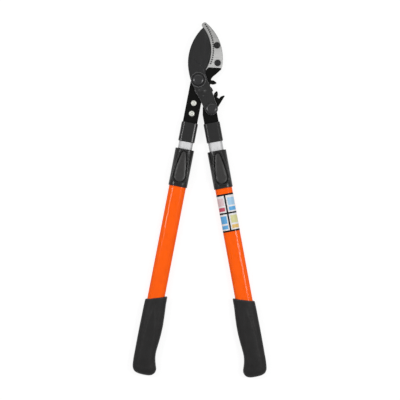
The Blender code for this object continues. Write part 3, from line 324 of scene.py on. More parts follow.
def ground_steel():
    """Bare steel, ground across the blade, with a few darker rub marks and a stain near the tip."""
    made = Surface("ground_steel", metallic=0.75)
    base = made.colour((0.36, 0.36, 0.355), 0.05, 700, (0.06, 1, 1), COUNTER_GRIND_TURN)
    marks = made.ranged(made.noise(130, 5.0), 0.56, 0.72, 0.0, 0.35)
    base = made.mix(marks, base, (0.26, 0.255, 0.25, 1))
    stain = made.ranged(made.along(), STAIN_START, STAIN_END, 0.0, STAIN_SHARE)
    made.finish_colour(made.mix(stain, base, (0.15, 0.148, 0.145, 1)), *COUNTER_CREASE_SHADE)
    made.rough(0.36, 0.52, 420, (0.1, 1, 1), COUNTER_GRIND_TURN)
    made.grain((3200, 0.000009, (0.05, 1, 1), COUNTER_GRIND_TURN))
    return made.material


def turned_metal(name, tone, metallic, rough, pale_edges=0, specular=0.5):
    """Plated or blackened fasteners with fine turning marks: pale_edges is the grey of their scuffed edges."""
    made = Surface(name, metallic, specular)
    base = made.colour(tone, 0.10, 500)
    if pale_edges:
        edge_share = made.broken_up(made.edge_mask(0.0005), 600, 2.0, spots=(0.4, 0.6), strength=(0.1, 0.8))
        base = made.mix(edge_share, base, (pale_edges, pale_edges, pale_edges, 1))
    made.finish_colour(base)
    made.rough(*rough, 700)
    made.grain((2400, 0.000008, EVEN, 0))
    return made.material


def aluminium():
    """Satin anodised tube, drawn along its length."""
    made = Surface("aluminium", metallic=1.0)
    made.finish_colour(made.colour((0.47, 0.47, 0.475), 0.05, 900, DRAWN))
    made.rough(0.62, 0.74, 900, DRAWN)
    made.grain((2800, 0.000006, DRAWN, 0))
    return made.material


def orange_paint():
    """Glossy powder coat with orange peel and a few dull rubs."""
    made = Surface("orange_paint", specular=0.0)
    made.finish_colour(made.colour((0.98, 0.108, 0.0), 0.05, 60))
    made.rough(0.26, 0.36, 240)
    made.shader.inputs["Coat Weight"].default_value = 0.24
    made.shader.inputs["Coat Roughness"].default_value = 0.11
    made.grain((520, 0.00002, EVEN, 0), (2600, 0.000004, EVEN, 0))
    return made.material


def plastic(name, tone, rough, grain, pale_edges=0, specular=0.25):
    """Moulded plastic with a fine eroded texture and paler edges, partly scuffing and partly a painted highlight
    on rims.
    """
    made = Surface(name, specular=specular)
    base = made.colour(tone, 0.10, 110)
    if pale_edges:
        # Paler edges: partly scuffing, partly a painted highlight on rims and crests
        edge_share = made.broken_up(made.edge_mask(0.0013), 380, 4.0, spots=(0.36, 0.66), strength=(0.25, 0.85))
        base = made.mix(edge_share, base, (pale_edges, pale_edges, pale_edges, 1))
    made.finish_colour(base)
    made.rough(*rough, 260)
    made.grain((2800, grain, EVEN, 0), (900, grain, EVEN, 0))
    return made.material


def grip_rubber():
    """Soft matt rubber with a stippled skin and a painted sheen: paler on its bends and along its leaf's borders.
    """
    made = Surface("grip_rubber", specular=0.15)
    base = made.colour((0.0112, 0.0108, 0.0108), 0.16, 75)
    # Painted highlight: gentle bends and leaf borders made paler, broken up by noise
    painted_sheen = made.broken_up(made.edge_mask(0.003, *SHEEN_BENDS), 300, 2.0, spots=(0.3, 0.6), strength=(0.4, 1.0))
    made.finish_colour(made.mix(painted_sheen, base, (0.040, 0.039, 0.039, 1)))
    made.shader.inputs["Sheen Weight"].default_value = 0.06
    made.shader.inputs["Sheen Roughness"].default_value = 0.5
    made.rough(0.44, 0.60, 330)
    cells = made.add("ShaderNodeTexVoronoi", feature="F1")
    made.feed(cells, Vector=made.place, Scale=1150.0)
    stipple = made.add("ShaderNodeBump")
    made.feed(stipple, Distance=0.00007, Strength=1.0, Height=cells.outputs["Distance"])
    fine = made.add("ShaderNodeBump")
    made.feed(fine, Distance=0.00002, Strength=1.0)
    made.feed(fine, Height=made.noise(2600), Normal=stipple.outputs[0])
    made.feed(made.shader, Normal=fine.outputs[0])
    return made.material


SURFACES = [
    forged_black(),
    blade_coating(),
    ground_steel(),
    turned_metal("black_oxide", (0.009, 0.009, 0.0095), 0.4, (0.34, 0.46), 0.04, specular=0.3),
    turned_metal("pivot_steel", (0.020, 0.020, 0.021), 0.5, (0.22, 0.32), 0.06, specular=0.4),
    turned_metal("zinc_plate", (0.46, 0.465, 0.43), 0.9, (0.42, 0.54)),
    turned_metal("bronze", (0.42, 0.24, 0.09), 1.0, (0.34, 0.5)),
    aluminium(),
    orange_paint(),
    plastic("collar_plastic", (0.009, 0.009, 0.009), (0.17, 0.27), 0.00001, 0.05, specular=0.28),
    plastic("sleeve_plastic", (0.01, 0.0096, 0.0093), (0.2, 0.3), 0.000012, 0.08, specular=0.22),
    plastic("button_plastic", (0.026, 0.025, 0.0245), (0.26, 0.36), 0.000012, 0.07),
    plastic("glide_nylon", (0.02, 0.02, 0.02), (0.45, 0.55), 0.00001),
    grip_rubber(),
]
FINISHES = {surface.name.split(".")[0]: surface for surface in SURFACES}


# Frames of the two handles: X across, Y up the tube, Z out of the front, origin on the tube's axis


def node_points(node):
    return [vertex.co.copy() for vertex in frame["nodes"][node].data.vertices]


def span(points):
    lows = Vector(min(p[i] for p in points) for i in range(3))
    highs = Vector(max(p[i] for p in points) for i in range(3))
    return lows, highs


def middle(box):
    """Middle of a box given by its lowest and highest corner."""
    return [(low + high) / 2 for low, high in zip(*box)]


def half_size(box):
    return [(high - low) / 2 for low, high in zip(*box)]


def tube_axis(side):
    """Matrix from a handle's frame to the object's, read from its joint and its inner tube."""
    joint = next(j for j in frame["joints"] if j["name"] == f"{side}_telescope")
    up = -Vector(joint["axis"])
    across = up.cross(Vector((0, 0, 1)))
    turn = Matrix((across, up, (0, 0, 1))).transposed()
    x, _, z = middle(span([turn.transposed() @ p for p in node_points(f"{side}_inner_tube")]))
    return Matrix.Translation(turn @ Vector((x, 0, z))) @ turn.to_4x4()


def extent(node, axis):
    """Lowest and highest corner of a node in the frame of a handle."""
    back = axis.inverted()
    return span([back @ p for p in node_points(node)])


BODIES = frame["record"]["behaviour"]["bodies"]
BODY_OF = {node: body for body, members in BODIES.items() for node in members}
SLOT_OF = {node: item.data.materials[0].name.split(".")[0] for node, item in frame["nodes"].items()}


# Building pieces. Smooth shading stops at an edge sharper than these angles, in degrees

PLATE_SMOOTH = 32
MOULDING_SMOOTH = 40
GRIP_SMOOTH = 45
TURNED_SMOOTH = 50
PANEL_SMOOTH = 50


def dress(obj, node, *more_nodes):
    """Puts a new piece on its body, in place of a CAD node, with that node's finish."""
    slot = SLOT_OF[node]
    if not obj.data.materials:
        obj.data.materials.append(FINISHES[slot])
    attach(obj, BODY_OF[node])
    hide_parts(node, *more_nodes)


def new_piece(name, verts, faces, smooth=PLATE_SMOOTH):
    """A mesh object with outward faces, smooth where its faces meet at less than that angle."""
    mesh = bpy.data.meshes.new(name)
    mesh.from_pydata([tuple(v) for v in verts], [], faces)
    return finished_piece(name, mesh, smooth)


def finished_piece(name, mesh, smooth=PLATE_SMOOTH):
    work = bmesh.new()
    work.from_mesh(mesh)
    bmesh.ops.recalc_face_normals(work, faces=work.faces)
    work.to_mesh(mesh)
    work.free()
    mesh.shade_smooth()
    mesh.set_sharp_from_angle(angle=math.radians(smooth))
    obj = bpy.data.objects.new(name, mesh)
    bpy.context.scene.collection.objects.link(obj)
    return obj


MERGE = 0.000004
FLAT_WITHIN = math.radians(0.4)
UPRIGHT_WITHIN = 0.000002
SHARP_FROM = math.radians(30)
UPRIGHT_SHARE = 0.4
EDGE_SEGMENTS = 3


def bisected(work, place, normal):
    """Cuts every face of the mesh along a plane."""
    everything = list(work.verts) + list(work.edges) + list(work.faces)
    bmesh.ops.bisect_plane(work, geom=everything, plane_co=place, plane_no=normal)


def refined(node, name, bevel=0, cutters=(), slices=1):
    """A CAD node's solid with its flat faces whole again, broken edges and smooth curves."""
    work = bmesh.new()
    work.from_mesh(frame["nodes"][node].data)
    bmesh.ops.remove_doubles(work, verts=work.verts, dist=MERGE)
    bmesh.ops.dissolve_limit(
        work, angle_limit=FLAT_WITHIN, verts=work.verts, edges=work.edges, delimit={"NORMAL"}
    )
    low, high = span([vertex.co for vertex in work.verts])
    for i in range(1, slices):
        bisected(work, (0, low.y + (high.y - low.y) * i / slices, 0), (0, 1, 0))
    weight = work.edges.layers.float.new("bevel_weight_edge")
    for edge in work.edges:
        upright = (edge.verts[0].co - edge.verts[1].co).xy.length < UPRIGHT_WITHIN
        if len(edge.link_faces) == 2 and edge.calc_face_angle() > SHARP_FROM:
            edge[weight] = UPRIGHT_SHARE if upright else 1.0
    mesh = bpy.data.meshes.new(name)
    work.to_mesh(mesh)
    work.free()
    if "custom_normal" in mesh.attributes:
        mesh.attributes.remove(mesh.attributes["custom_normal"])
    obj = finished_piece(name, mesh)
    if bevel:
        edge = obj.modifiers.new("edge", "BEVEL")
        edge.width = bevel
        edge.segments = EDGE_SEGMENTS
        edge.limit_method = "WEIGHT"
        edge.use_clamp_overlap = True
        edge.miter_outer = "MITER_ARC"
    for cutter in cutters:
        combine(obj, cutter)
    flat = obj.modifiers.new("flat", "WEIGHTED_NORMAL")
    flat.keep_sharp = True
    dress(obj, node)
    return obj


def applied(obj):
    """Puts the evaluated mesh in place of the object's mesh and its modifiers."""
    graph = bpy.context.evaluated_depsgraph_get()
    mesh = bpy.data.meshes.new_from_object(obj.evaluated_get(graph), depsgraph=graph)
    obj.modifiers.clear()
    obj.data = mesh


def combine(obj, other, operation="DIFFERENCE"):
    """Cuts the other solid out of the object, or joins it on, and deletes the other."""
    step = obj.modifiers.new("solid", "BOOLEAN")
    step.operation = operation
    step.object = other
    applied(obj)
    bpy.data.objects.remove(other)


# Outlines and skins

OVAL_STEPS = 18
FLAT_STEPS = 3
ROUND_STEPS = 5
BAR_SIDES = 36
TINY = 0.000001


def turns(count):
    """Angles in even steps round a whole turn."""
    return [2 * math.pi * i / count for i in range(count)]


def band(low, high, count):
    """Faces between two loops whose points are counted from low and from high."""
    pairs = [(i, (i + 1) % count) for i in range(count)]
    return [(low + i, low + j, high + j, high + i) for i, j in pairs]


def skin(loops):
    """Faces over a stack of loops with equal counts, capped at both ends."""
    count = len(loops[0])
    faces = [tuple(range(count)), tuple(range((len(loops) - 1) * count, len(loops) * count))]
    for level in range(len(loops) - 1):
        faces += band(level * count, (level + 1) * count, count)
    return faces


def placed(loops, axis):
    """The points of all loops in a row, moved from the frame of a handle."""
    return [axis @ Vector(v) for loop in loops for v in loop]


def loft(name, loops, axis=Matrix.Identity(4), smooth=PLATE_SMOOTH):
    return new_piece(name, placed(loops, axis), skin(loops), smooth)


def hose(name, loops, axis):
    """A tube wall: the loops run round the wall and the last one meets the first."""
    count = len(loops[0])
    faces = []
    for level in range(len(loops)):
        faces += band(level * count, (level + 1) % len(loops) * count, count)
    return new_piece(name, placed(loops, axis), faces, MOULDING_SMOOTH)


def stadium(width, depth):
    """A flat oval in the (x, z) plane, with points on its flats too."""
    radius = depth / 2
    reach = width / 2 - radius
    points = []
    for side, start in ((1, -math.pi / 2), (-1, math.pi / 2)):
        for i in range(OVAL_STEPS + 1):
            a = start + math.pi * i / OVAL_STEPS
            points.append((side * reach + radius * math.cos(a), radius * math.sin(a)))
        for i in range(1, FLAT_STEPS):
            points.append((side * reach * (1 - 2 * i / FLAT_STEPS), side * radius))
    return points


def on_stadium(direction, width, depth):
    """The point of a flat oval that lies in a direction from its middle."""
    radius = depth / 2
    reach = width / 2 - radius
    c, s = direction.normalized()
    if abs(s) > TINY and abs(c / s) * radius <= reach:
        return (c / abs(s) * radius, math.copysign(radius, s))
    away = reach * abs(c) + math.sqrt(max((reach * c) ** 2 - reach ** 2 + radius ** 2, 0))
    return (c * away, s * away)


def at_station(section, y):
    return [(x, y, z) for x, z in section]


def quarter_round():
    """Shares (1 - cos, 1 - sin) of a radius, over a quarter turn in even steps."""
    angles = [math.pi / 2 * i / ROUND_STEPS for i in range(ROUND_STEPS + 1)]
    return [(1 - math.cos(a), 1 - math.sin(a)) for a in angles]


def arc_through(a, b, c, steps):
    """Points on the circle through three points, from a by way of b to c."""
    a, b, c = Vector(a), Vector(b), Vector(c)
    d = 2 * (a.x * (b.y - c.y) + b.x * (c.y - a.y) + c.x * (a.y - b.y))
    sa, sb, sc = a.length_squared, b.length_squared, c.length_squared
    x = (sa * (b.y - c.y) + sb * (c.y - a.y) + sc * (a.y - b.y)) / d
    y = (sa * (c.x - b.x) + sb * (a.x - c.x) + sc * (b.x - a.x)) / d
    centre = Vector((x, y))
    start = math.atan2(a.y - y, a.x - x)
    turn = 1 if (b - a).cross(c - b) > 0 else -1
    sweep = (math.atan2(c.y - y, c.x - x) - start) * turn % (2 * math.pi) * turn
    radius = (a - centre).length
    angles = [start + sweep * i / steps for i in range(steps + 1)]
    return [(x + radius * math.cos(t), y + radius * math.sin(t)) for t in angles]


# Fasteners: each is measured on its CAD node and turned again, finer

ROUND_SIDES = 60
ROUND_TURNS = turns(ROUND_SIDES)
HEAD_RIM = 0.96
UNDER_HEAD = 0.001
EDGE_ROUND = 0.0003
RIM_SHARE = 0.25
PIVOT_FLAT_SHARE = 0.64
PIVOT_GROOVE = (0.93, 0.9, 0.5)
CONE_SHARE = 0.52
CONE_RINGS = (1, 0.85, 0.15, 0)
CONE_TILT = math.radians(16.6)
SHOULDER = (0.72, 0.62)
PIVOT_STEPS = 10
SOCKET_ACROSS = 0.0040
SOCKET_DEPTH = 0.0010
SOCKET_TURN = 0.3
SOCKET_DOME = ((1, 0.3), (0.86, 0.76), (0.58, 1))
SOCKET_STEPS = 8


class Bolt:
    """Centre, head and shank of a bolt, as its CAD node has them."""

    def __init__(self, node):
        points = node_points(node)
        low, high = span(points)
        self.centre = Vector(middle((low, high))[:2])
        self.radius = (high.x - low.x) / 2
        self.top, self.end = high.z, low.z
        rim = self.radius * HEAD_RIM
        self.face = min(p.z for p in points if (p.xy - self.centre).length > rim)
        below = self.face - UNDER_HEAD
        self.shank = max((p.xy - self.centre).length for p in points if p.z < below)
        self.height = self.top - self.face

    def at(self, reach, a, z):
        return (self.centre.x + reach * math.cos(a), self.centre.y + reach * math.sin(a), z)

    def ring(self, radius, z):
        return [self.at(radius, a, z) for a in ROUND_TURNS]

    def hex_ring(self, across, z):
        points = []
        for a in ROUND_TURNS:
            side = (a - SOCKET_TURN + math.pi / 6) % (math.pi / 3) - math.pi / 6
            points.append(self.at(across / 2 / math.cos(side), a, z))
        return points

    def domed(self, dome):
        """Rings up the shank, round the edge under the head and over its dome."""
        return [
            self.ring(self.shank - EDGE_ROUND, self.end),
            self.ring(self.shank, self.end + EDGE_ROUND),
            self.ring(self.shank, self.face),
            self.ring(self.radius - EDGE_ROUND, self.face),
            self.ring(self.radius, self.face + EDGE_ROUND),
            *(self.ring(radius, self.face + z) for radius, z in dome),
        ]


def pivot_bolt(node):
    """Low head: a round edge, a cone and a flat middle with a fine ring cut into it."""
    bolt = Bolt(node)
    height = bolt.height
    flat = bolt.radius * PIVOT_FLAT_SHARE
    brow = flat + CONE_SHARE * (bolt.radius - flat)
    cone = []
    for share in CONE_RINGS:
        out = share * (brow - flat)
        cone.append((flat + out, height - math.tan(CONE_TILT) * out))
    shoulder = (brow + SHOULDER[0] * (bolt.radius - brow), SHOULDER[1] * height)
    dome = arc_through((bolt.radius, RIM_SHARE * height), shoulder, cone[0], PIVOT_STEPS) + cone[1:]
    loops = bolt.domed(dome)
    outer, inner, core = (flat * share for share in PIVOT_GROOVE)
    loops.append(bolt.ring(outer, bolt.top))
    loops.append(bolt.ring(inner, bolt.top - EDGE_ROUND))
    loops.append(bolt.ring(core, bolt.top - EDGE_ROUND))
    dress(loft(f"{node}_turned", loops, smooth=TURNED_SMOOTH), node)


def socket_bolt(node):
    """Button head with a hexagon socket."""
    bolt = Bolt(node)
    through = [(out * bolt.radius, up * bolt.height) for out, up in SOCKET_DOME]
    dome = arc_through(*through, SOCKET_STEPS)
    loops = bolt.domed(dome)
    floor = bolt.top - SOCKET_DEPTH
    loops += [
        bolt.hex_ring(SOCKET_ACROSS + 2 * EDGE_ROUND, bolt.top),
        bolt.hex_ring(SOCKET_ACROSS, bolt.top - EDGE_ROUND),
        bolt.hex_ring(SOCKET_ACROSS, floor),
        bolt.ring(SOCKET_ACROSS / 6, floor - EDGE_ROUND),
    ]
    dress(loft(f"{node}_turned", loops, smooth=TURNED_SMOOTH), node)


# Tubes

OUTER_WALL = 0.0012
INNER_WALL = 0.0013
TUBE_EDGE = 0.0003
TUBE_RINGS = 12
SHADE_OVERLAP = 0.003


def tube_wall(low, high, wall):
    """Loops up the outside of a tube and down its bore, with eased ends."""
    width, depth = high.x - low.x, high.z - low.z
    outside = stadium(width, depth)
    eased = stadium(width - 2 * TUBE_EDGE, depth - 2 * TUBE_EDGE)
    bore = stadium(width - 2 * wall, depth - 2 * wall)
    stations = [low.y, low.y + TUBE_EDGE]
    stations += [low.y + (high.y - low.y) * i / TUBE_RINGS for i in range(1, TUBE_RINGS)]
    stations += [high.y - TUBE_EDGE, high.y]
    sections = [eased] + [outside] * (len(stations) - 2) + [eased]
    loops = [at_station(section, y) for section, y in zip(sections, stations)]
    return loops + [at_station(bore, high.y), at_station(bore, low.y)]


def outer_tube(side, axis):
    """Painted tube. Where the sleeve covers it the tube gets the dark nylon finish, painted shade so that the
    button's gap is dark.
    """
    node = f"{side}_outer_tube"
    low, high = extent(node, axis)
    covered, _ = extent(f"{side}_lock_sleeve", axis)
    obj = hose(f"{side}_painted_tube", tube_wall(low, high, OUTER_WALL), axis)
    # The covered end is dark nylon: painted shade for the gap round the button
    shade_covered_end(obj, axis, covered.y + SHADE_OVERLAP)
    dress(obj, node)


def shade_covered_end(obj, axis, height):
    """Cuts the mesh across the axis at a height and gives what is above it the dark finish, as painted shade."""
    back = axis.inverted()
    work = bmesh.new()
    work.from_mesh(obj.data)
    bisected(work, axis @ Vector((0, height, 0)), axis.to_3x3() @ Vector((0, 1, 0)))
    for face in work.faces:
        face.material_index = 1 if (back @ face.calc_center_median()).y > height else 0
    work.to_mesh(obj.data)
    work.free()
    obj.data.materials.append(FINISHES["orange_paint"])
    obj.data.materials.append(FINISHES["glide_nylon"])


LOCK_HOLES = 7
LOCK_HOLE_PITCH = 0.045
LOCK_HOLE_GAP = 0.0003


def bar(name, radius, start, end, axis):
    """A plain round cutter from start to end, given in the frame of the handle."""
    start, end = Vector(start), Vector(end)
    turn = (end - start).to_track_quat("Z", "Y")
    spokes = [turn @ Vector((math.cos(a), math.sin(a), 0)) for a in turns(BAR_SIDES)]
    loops = [[centre + spoke * radius for spoke in spokes] for centre in (start, end)]
    return loft(name, loops, axis)


def resharpened(obj):
    """Marks the sharp edges of a moulding again after its cuts."""
    obj.data.set_sharp_from_angle(angle=math.radians(MOULDING_SMOOTH))


def inner_tube(side, axis):
    """Bright tube with the row of lock holes in its front wall."""
    node = f"{side}_inner_tube"
    low, high = extent(node, axis)
    pin = extent(f"{side}_lock_pin", axis)
    tube = hose(f"{side}_drawn_tube", tube_wall(low, high, INNER_WALL), axis)
    radius = half_size(pin)[0] + LOCK_HOLE_GAP
    above = high.z + LOCK_HOLE_GAP
    for i in range(LOCK_HOLES):
        y = middle(pin)[1] - i * LOCK_HOLE_PITCH
        combine(tube, bar(f"lock_hole_{i}", radius, (0, y, 0), (0, y, above), axis))
    resharpened(tube)
    dress(tube, node)


# Sleeves and buttons. The button's outline is an egg: two round ends joined by two flat arcs

EGG_TOP = 0.0030
EGG_END = 0.0645
EGG_TOP_RADIUS = 0.0064
EGG_END_RADIUS = 0.0126
EGG_SIDE_RADIUS = 0.25
EGG_STEPS = (14, 26, 18)
RIM_WIDTH = 0.0028
RIM_ROUND = 0.0017
RIM_LIP = 0.0005
SLEEVE_ROUND = 0.0008
SLEEVE_ROOF = 0.003
SLEEVE_GAP = 0.0003
BUTTON_GROOVE = 0.0019
BUTTON_ROUND = 0.0011
BUTTON_CROWN = ((0.0024, 0.00032), (0.0036, 0.00052), (0.0048, 0.00062))
BUTTON_FLOOR = 0.0003
BUTTON_RISE = 0.0022
BUTTON_DROP = 0.0014
BUTTON_SKIN = 0.0024
BUTTON_PRESS = math.radians(7)
CUP_GAP = 0.0006


def egg(extra):
    """Points (x, distance from the sleeve's top) round the button's outline, grown by extra."""
    top_centre, end_centre = EGG_TOP + EGG_TOP_RADIUS, EGG_END - EGG_END_RADIUS
    to_top, to_end = EGG_SIDE_RADIUS - EGG_TOP_RADIUS, EGG_SIDE_RADIUS - EGG_END_RADIUS
    level = to_top ** 2 - to_end ** 2 + end_centre ** 2 - top_centre ** 2
    level /= 2 * (end_centre - top_centre)
    away = math.sqrt(to_top ** 2 - (level - top_centre) ** 2)
    upper, lower = math.atan2(top_centre - level, away), math.atan2(end_centre - level, away)
    arcs = (
        (0, top_centre, EGG_TOP_RADIUS, -math.pi / 2, upper),
        (-away, level, EGG_SIDE_RADIUS, upper, lower),
        (0, end_centre, EGG_END_RADIUS, lower, math.pi / 2),
    )
    half = []
    for (x, s, radius, start, end), steps in zip(arcs, EGG_STEPS):
        for i in range(steps):
            a = start + (end - start) * i / steps
            half.append((x + (radius + extra) * math.cos(a), s + (radius + extra) * math.sin(a)))
    half.append((0, EGG_END + extra))
    half[0] = (0, EGG_TOP - extra)
    return half + [(-x, s) for x, s in half[-2:0:-1]]


def crossing_cap(base, count):
    """Faces straight across a loop that is the same on both sides of its first point."""
    half = count // 2
    faces = [(base, base + 1, base + count - 1)]
    for i in range(1, half - 1):
        faces.append((base + i, base + i + 1, base + count - i - 1, base + count - i))
    faces.append((base + half - 1, base + half, base + half + 1))
    return faces


def egg_loop(extra, z, top):
    return [(x, top - s, z) for x, s in egg(extra)]


def rounded_ends(name, width, depth, low, high, radius, axis):
    """A flat oval bar with rounded rims at both ends."""
    insets = [(radius * inset, low + radius * rise) for rise, inset in quarter_round()]
    insets += [(inset, low + high - y) for inset, y in reversed(insets)]
    loops = [at_station(stadium(width - 2 * i, depth - 2 * i), y) for i, y in insets]
    return loft(name, loops, axis)


def lock_sleeve(side, axis):
    """Moulded sleeve: oval shell, rounded rim round the button's pocket, room for the tubes."""
    node = f"{side}_lock_sleeve"
    low, high = extent(node, axis)
    tube_low, tube_high = extent(f"{side}_outer_tube", axis)
    inner_low, inner_high = extent(f"{side}_inner_tube", axis)
    pin = extent(f"{side}_button_pin", axis)
    gap = 2 * SLEEVE_GAP
    name = f"{side}_moulded_sleeve"
    sleeve = rounded_ends(name, high.x - low.x, -2 * low.z, low.y, high.y, SLEEVE_ROUND, axis)
    rim = [egg_loop(RIM_WIDTH, inner_high.z / 2, high.y)]
    for inset, drop in quarter_round():
        rim.append(egg_loop(RIM_WIDTH - RIM_ROUND * inset, high.z - RIM_ROUND * drop, high.y))
    combine(sleeve, loft("rim", rim, axis), "UNION")
    bore = stadium(tube_high.x - tube_low.x + gap, tube_high.z - tube_low.z + gap)
    mouth = stadium(inner_high.x - inner_low.x + gap, inner_high.z - inner_low.z + gap)
    roof = high.y - SLEEVE_ROOF
    combine(sleeve, loft("bore", [at_station(bore, y) for y in (low.y - gap, roof)], axis))
    combine(sleeve, loft("mouth", [at_station(mouth, y) for y in (roof - gap, high.y + gap)], axis))
    pocket = [egg_loop(0, tube_high.z - gap, high.y)]
    for extra, drop in quarter_round():
        pocket.append(egg_loop(RIM_LIP * extra, high.z - RIM_LIP * drop, high.y))
    pocket.append(egg_loop(RIM_LIP, high.z + gap, high.y))
    combine(sleeve, loft("pocket", pocket, axis))
    _, y, z = middle(pin)
    radius = half_size(pin)[2] + SLEEVE_GAP
    combine(sleeve, bar("pin_bore", radius, (low.x, y, z), (high.x, y, z), axis))
    resharpened(sleeve)
    dress(sleeve, node)


def lock_button(side, axis):
    """Rocker button: crowned egg that stands highest over its wide end."""
    node = f"{side}_lock_button"
    _, sleeve_high = extent(f"{side}_lock_sleeve", axis)
    _, tube_high = extent(f"{side}_outer_tube", axis)
    pin = extent(f"{side}_button_pin", axis)
    _, pivot_y, pivot_z = middle(pin)
    reach = sleeve_high.y - EGG_TOP - pivot_y

    def floor(y):
        return tube_high.z + BUTTON_FLOOR + max(0, pivot_y - y) * math.sin(BUTTON_PRESS)

    def face(y):
        if y > pivot_y:
            return pivot_z + BUTTON_RISE - BUTTON_DROP * ((y - pivot_y) / reach) ** 2
        return max(pivot_z + BUTTON_RISE, floor(y) + BUTTON_SKIN)

    levels = [(-BUTTON_GROOVE, None)]
    for inset, drop in quarter_round():
        levels.append((-BUTTON_GROOVE - BUTTON_ROUND * inset, -BUTTON_ROUND * drop))
    levels += [(-BUTTON_GROOVE - inset, rise) for inset, rise in BUTTON_CROWN]
    loops = []
    for extra, rise in levels:
        outline = egg_loop(extra, 0, sleeve_high.y)
        loops.append([(x, y, floor(y) if rise is None else face(y) + rise) for x, y, _ in outline])
    count = len(loops[0])
    faces = skin(loops)[2:] + crossing_cap(0, count) + crossing_cap((len(loops) - 1) * count, count)
    name = f"{side}_moulded_button"
    button = new_piece(name, placed(loops, axis), faces, MOULDING_SMOOTH)
    for held, spare in (("lock_pin", 0), ("lock_spring", CUP_GAP)):
        box = extent(f"{side}_{held}", axis)
        radius = half_size(box)[0] + SLEEVE_GAP + spare
        y = middle(box)[1]
        cup = bar("cup", radius, (0, y, tube_high.z - spare), (0, y, box[1].z + SLEEVE_GAP), axis)
        combine(button, cup)
    radius = half_size(pin)[2] + SLEEVE_GAP
    x = sleeve_high.x
    combine(button, bar("pin_bore", radius, (-x, pivot_y, pivot_z), (x, pivot_y, pivot_z), axis))
    resharpened(button)
    dress(button, node)


def lock_spring(side):
    """Spring under the button's wide end, which shortens on the real tool as the button goes down. Here it is
    refined and given a mesh of its own.
    """
    node = f"{side}_lock_spring"
    spring = refined(node, f"{side}_wound_spring")
    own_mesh(spring)


# Grips

GRIP_RINGS = 100
END_RINGS = 22
GRIP_POINTS = 96
GRIP_SQUARENESS = 2.5
GRIP_TOP = 0.132
GRIP_LENGTH = 0.1476
GRIP_MOUTH_SLOPE = -0.307
GRIP_END_SLOPE = 0.02
END_ROUND_START = 0.129
END_ROUND_POWER = 3.0
END_CENTRE = 0.004
BORE_GAP = 0.0003
LEAF_DEPTH = 0.0010
LEAF_EDGE = 0.0028
LEAF_OUTER, LEAF_INNER = 0.0120, 0.0135
LEAF_TOP = (0.08, 0.10)
LEAF_OPENING = (0.085, 0.62)
LEAF_FOOT = (0.80, 0.90)
LEAF_POWER = 0.55
LEAF_FACE = (0.45, 0.8)
END_TURN = math.radians(88)
END_CLOSING = ((0.6, 0.00005), (0.25, 0.00008))
# Distance from the mouth, wall on the inner side, wall on the outer side,
# drop below the full half depth
GRIP_WAIST = [
    (0.000, 0.0039, 0.0028, 0.0022),
    (0.001, 0.0048, 0.0035, 0.0014),
    (0.016, 0.0051, 0.0040, 0.0010),
    (0.036, 0.0064, 0.0042, 0.0006),
    (0.056, 0.0071, 0.0044, 0.0003),
    (0.076, 0.0063, 0.0044, 0.0003),
    (0.096, 0.0043, 0.0043, 0.0003),
    (0.106, 0.0038, 0.0042, 0.0001),
    (0.116, 0.0050, 0.0042, 0.0000),
    (0.126, 0.0078, 0.0038, 0.0000),
    (0.133, 0.0102, 0.0032, 0.0000),
    (0.140, 0.0106, 0.0028, 0.0000),
    (0.1476, 0.0106, 0.0028, 0.0000),
]


def eased_table(table, share):
    """A smooth curve through the rows of a table, its first column rising."""
    k = max(i for i in range(len(table) - 1) if table[i][0] <= share or i == 0)
    a, b = table[k], table[k + 1]
    before = table[k - 1] if k > 0 else a
    after = table[k + 2] if k + 2 < len(table) else b
    t = min((share - a[0]) / (b[0] - a[0]), 1.0)
    row = []
    for i in range(1, len(a)):
        width = b[0] - a[0]
        slope_a = (b[i] - before[i]) / (b[0] - before[0]) * width
        slope_b = (after[i] - a[i]) / (after[0] - a[0]) * width
        row.append(
            (2 * t ** 3 - 3 * t ** 2 + 1) * a[i] + (t ** 3 - 2 * t ** 2 + t) * slope_a
            + (3 * t ** 2 - 2 * t ** 3) * b[i] + (t ** 3 - t ** 2) * slope_b
        )
    return row


def smooth_step(value, low, high):
    t = max(0.0, min(1.0, (value - low) / (high - low)))
    return t * t * (3 - 2 * t)


def end_round(station):
    """Share of the section that is left where the grip rounds off at its end."""
    u = max(0, min(1, (station - END_ROUND_START) / (GRIP_LENGTH - END_ROUND_START)))
    return (1 - u ** END_ROUND_POWER) ** (1 / END_ROUND_POWER)


def leaf_share(share, x):
    """1 on the raised leaf of the palm panel, 0 beside it. x counts towards the inner side."""
    opening = smooth_step(share, *LEAF_OPENING) ** LEAF_POWER
    end = 1 - smooth_step(share, *LEAF_FOOT)
    outside = max(x - LEAF_INNER * opening, -LEAF_OUTER * opening - x)
    edge = 1 - smooth_step(outside, -LEAF_EDGE / 2, LEAF_EDGE / 2)
    return edge * end * smooth_step(share, *LEAF_TOP)


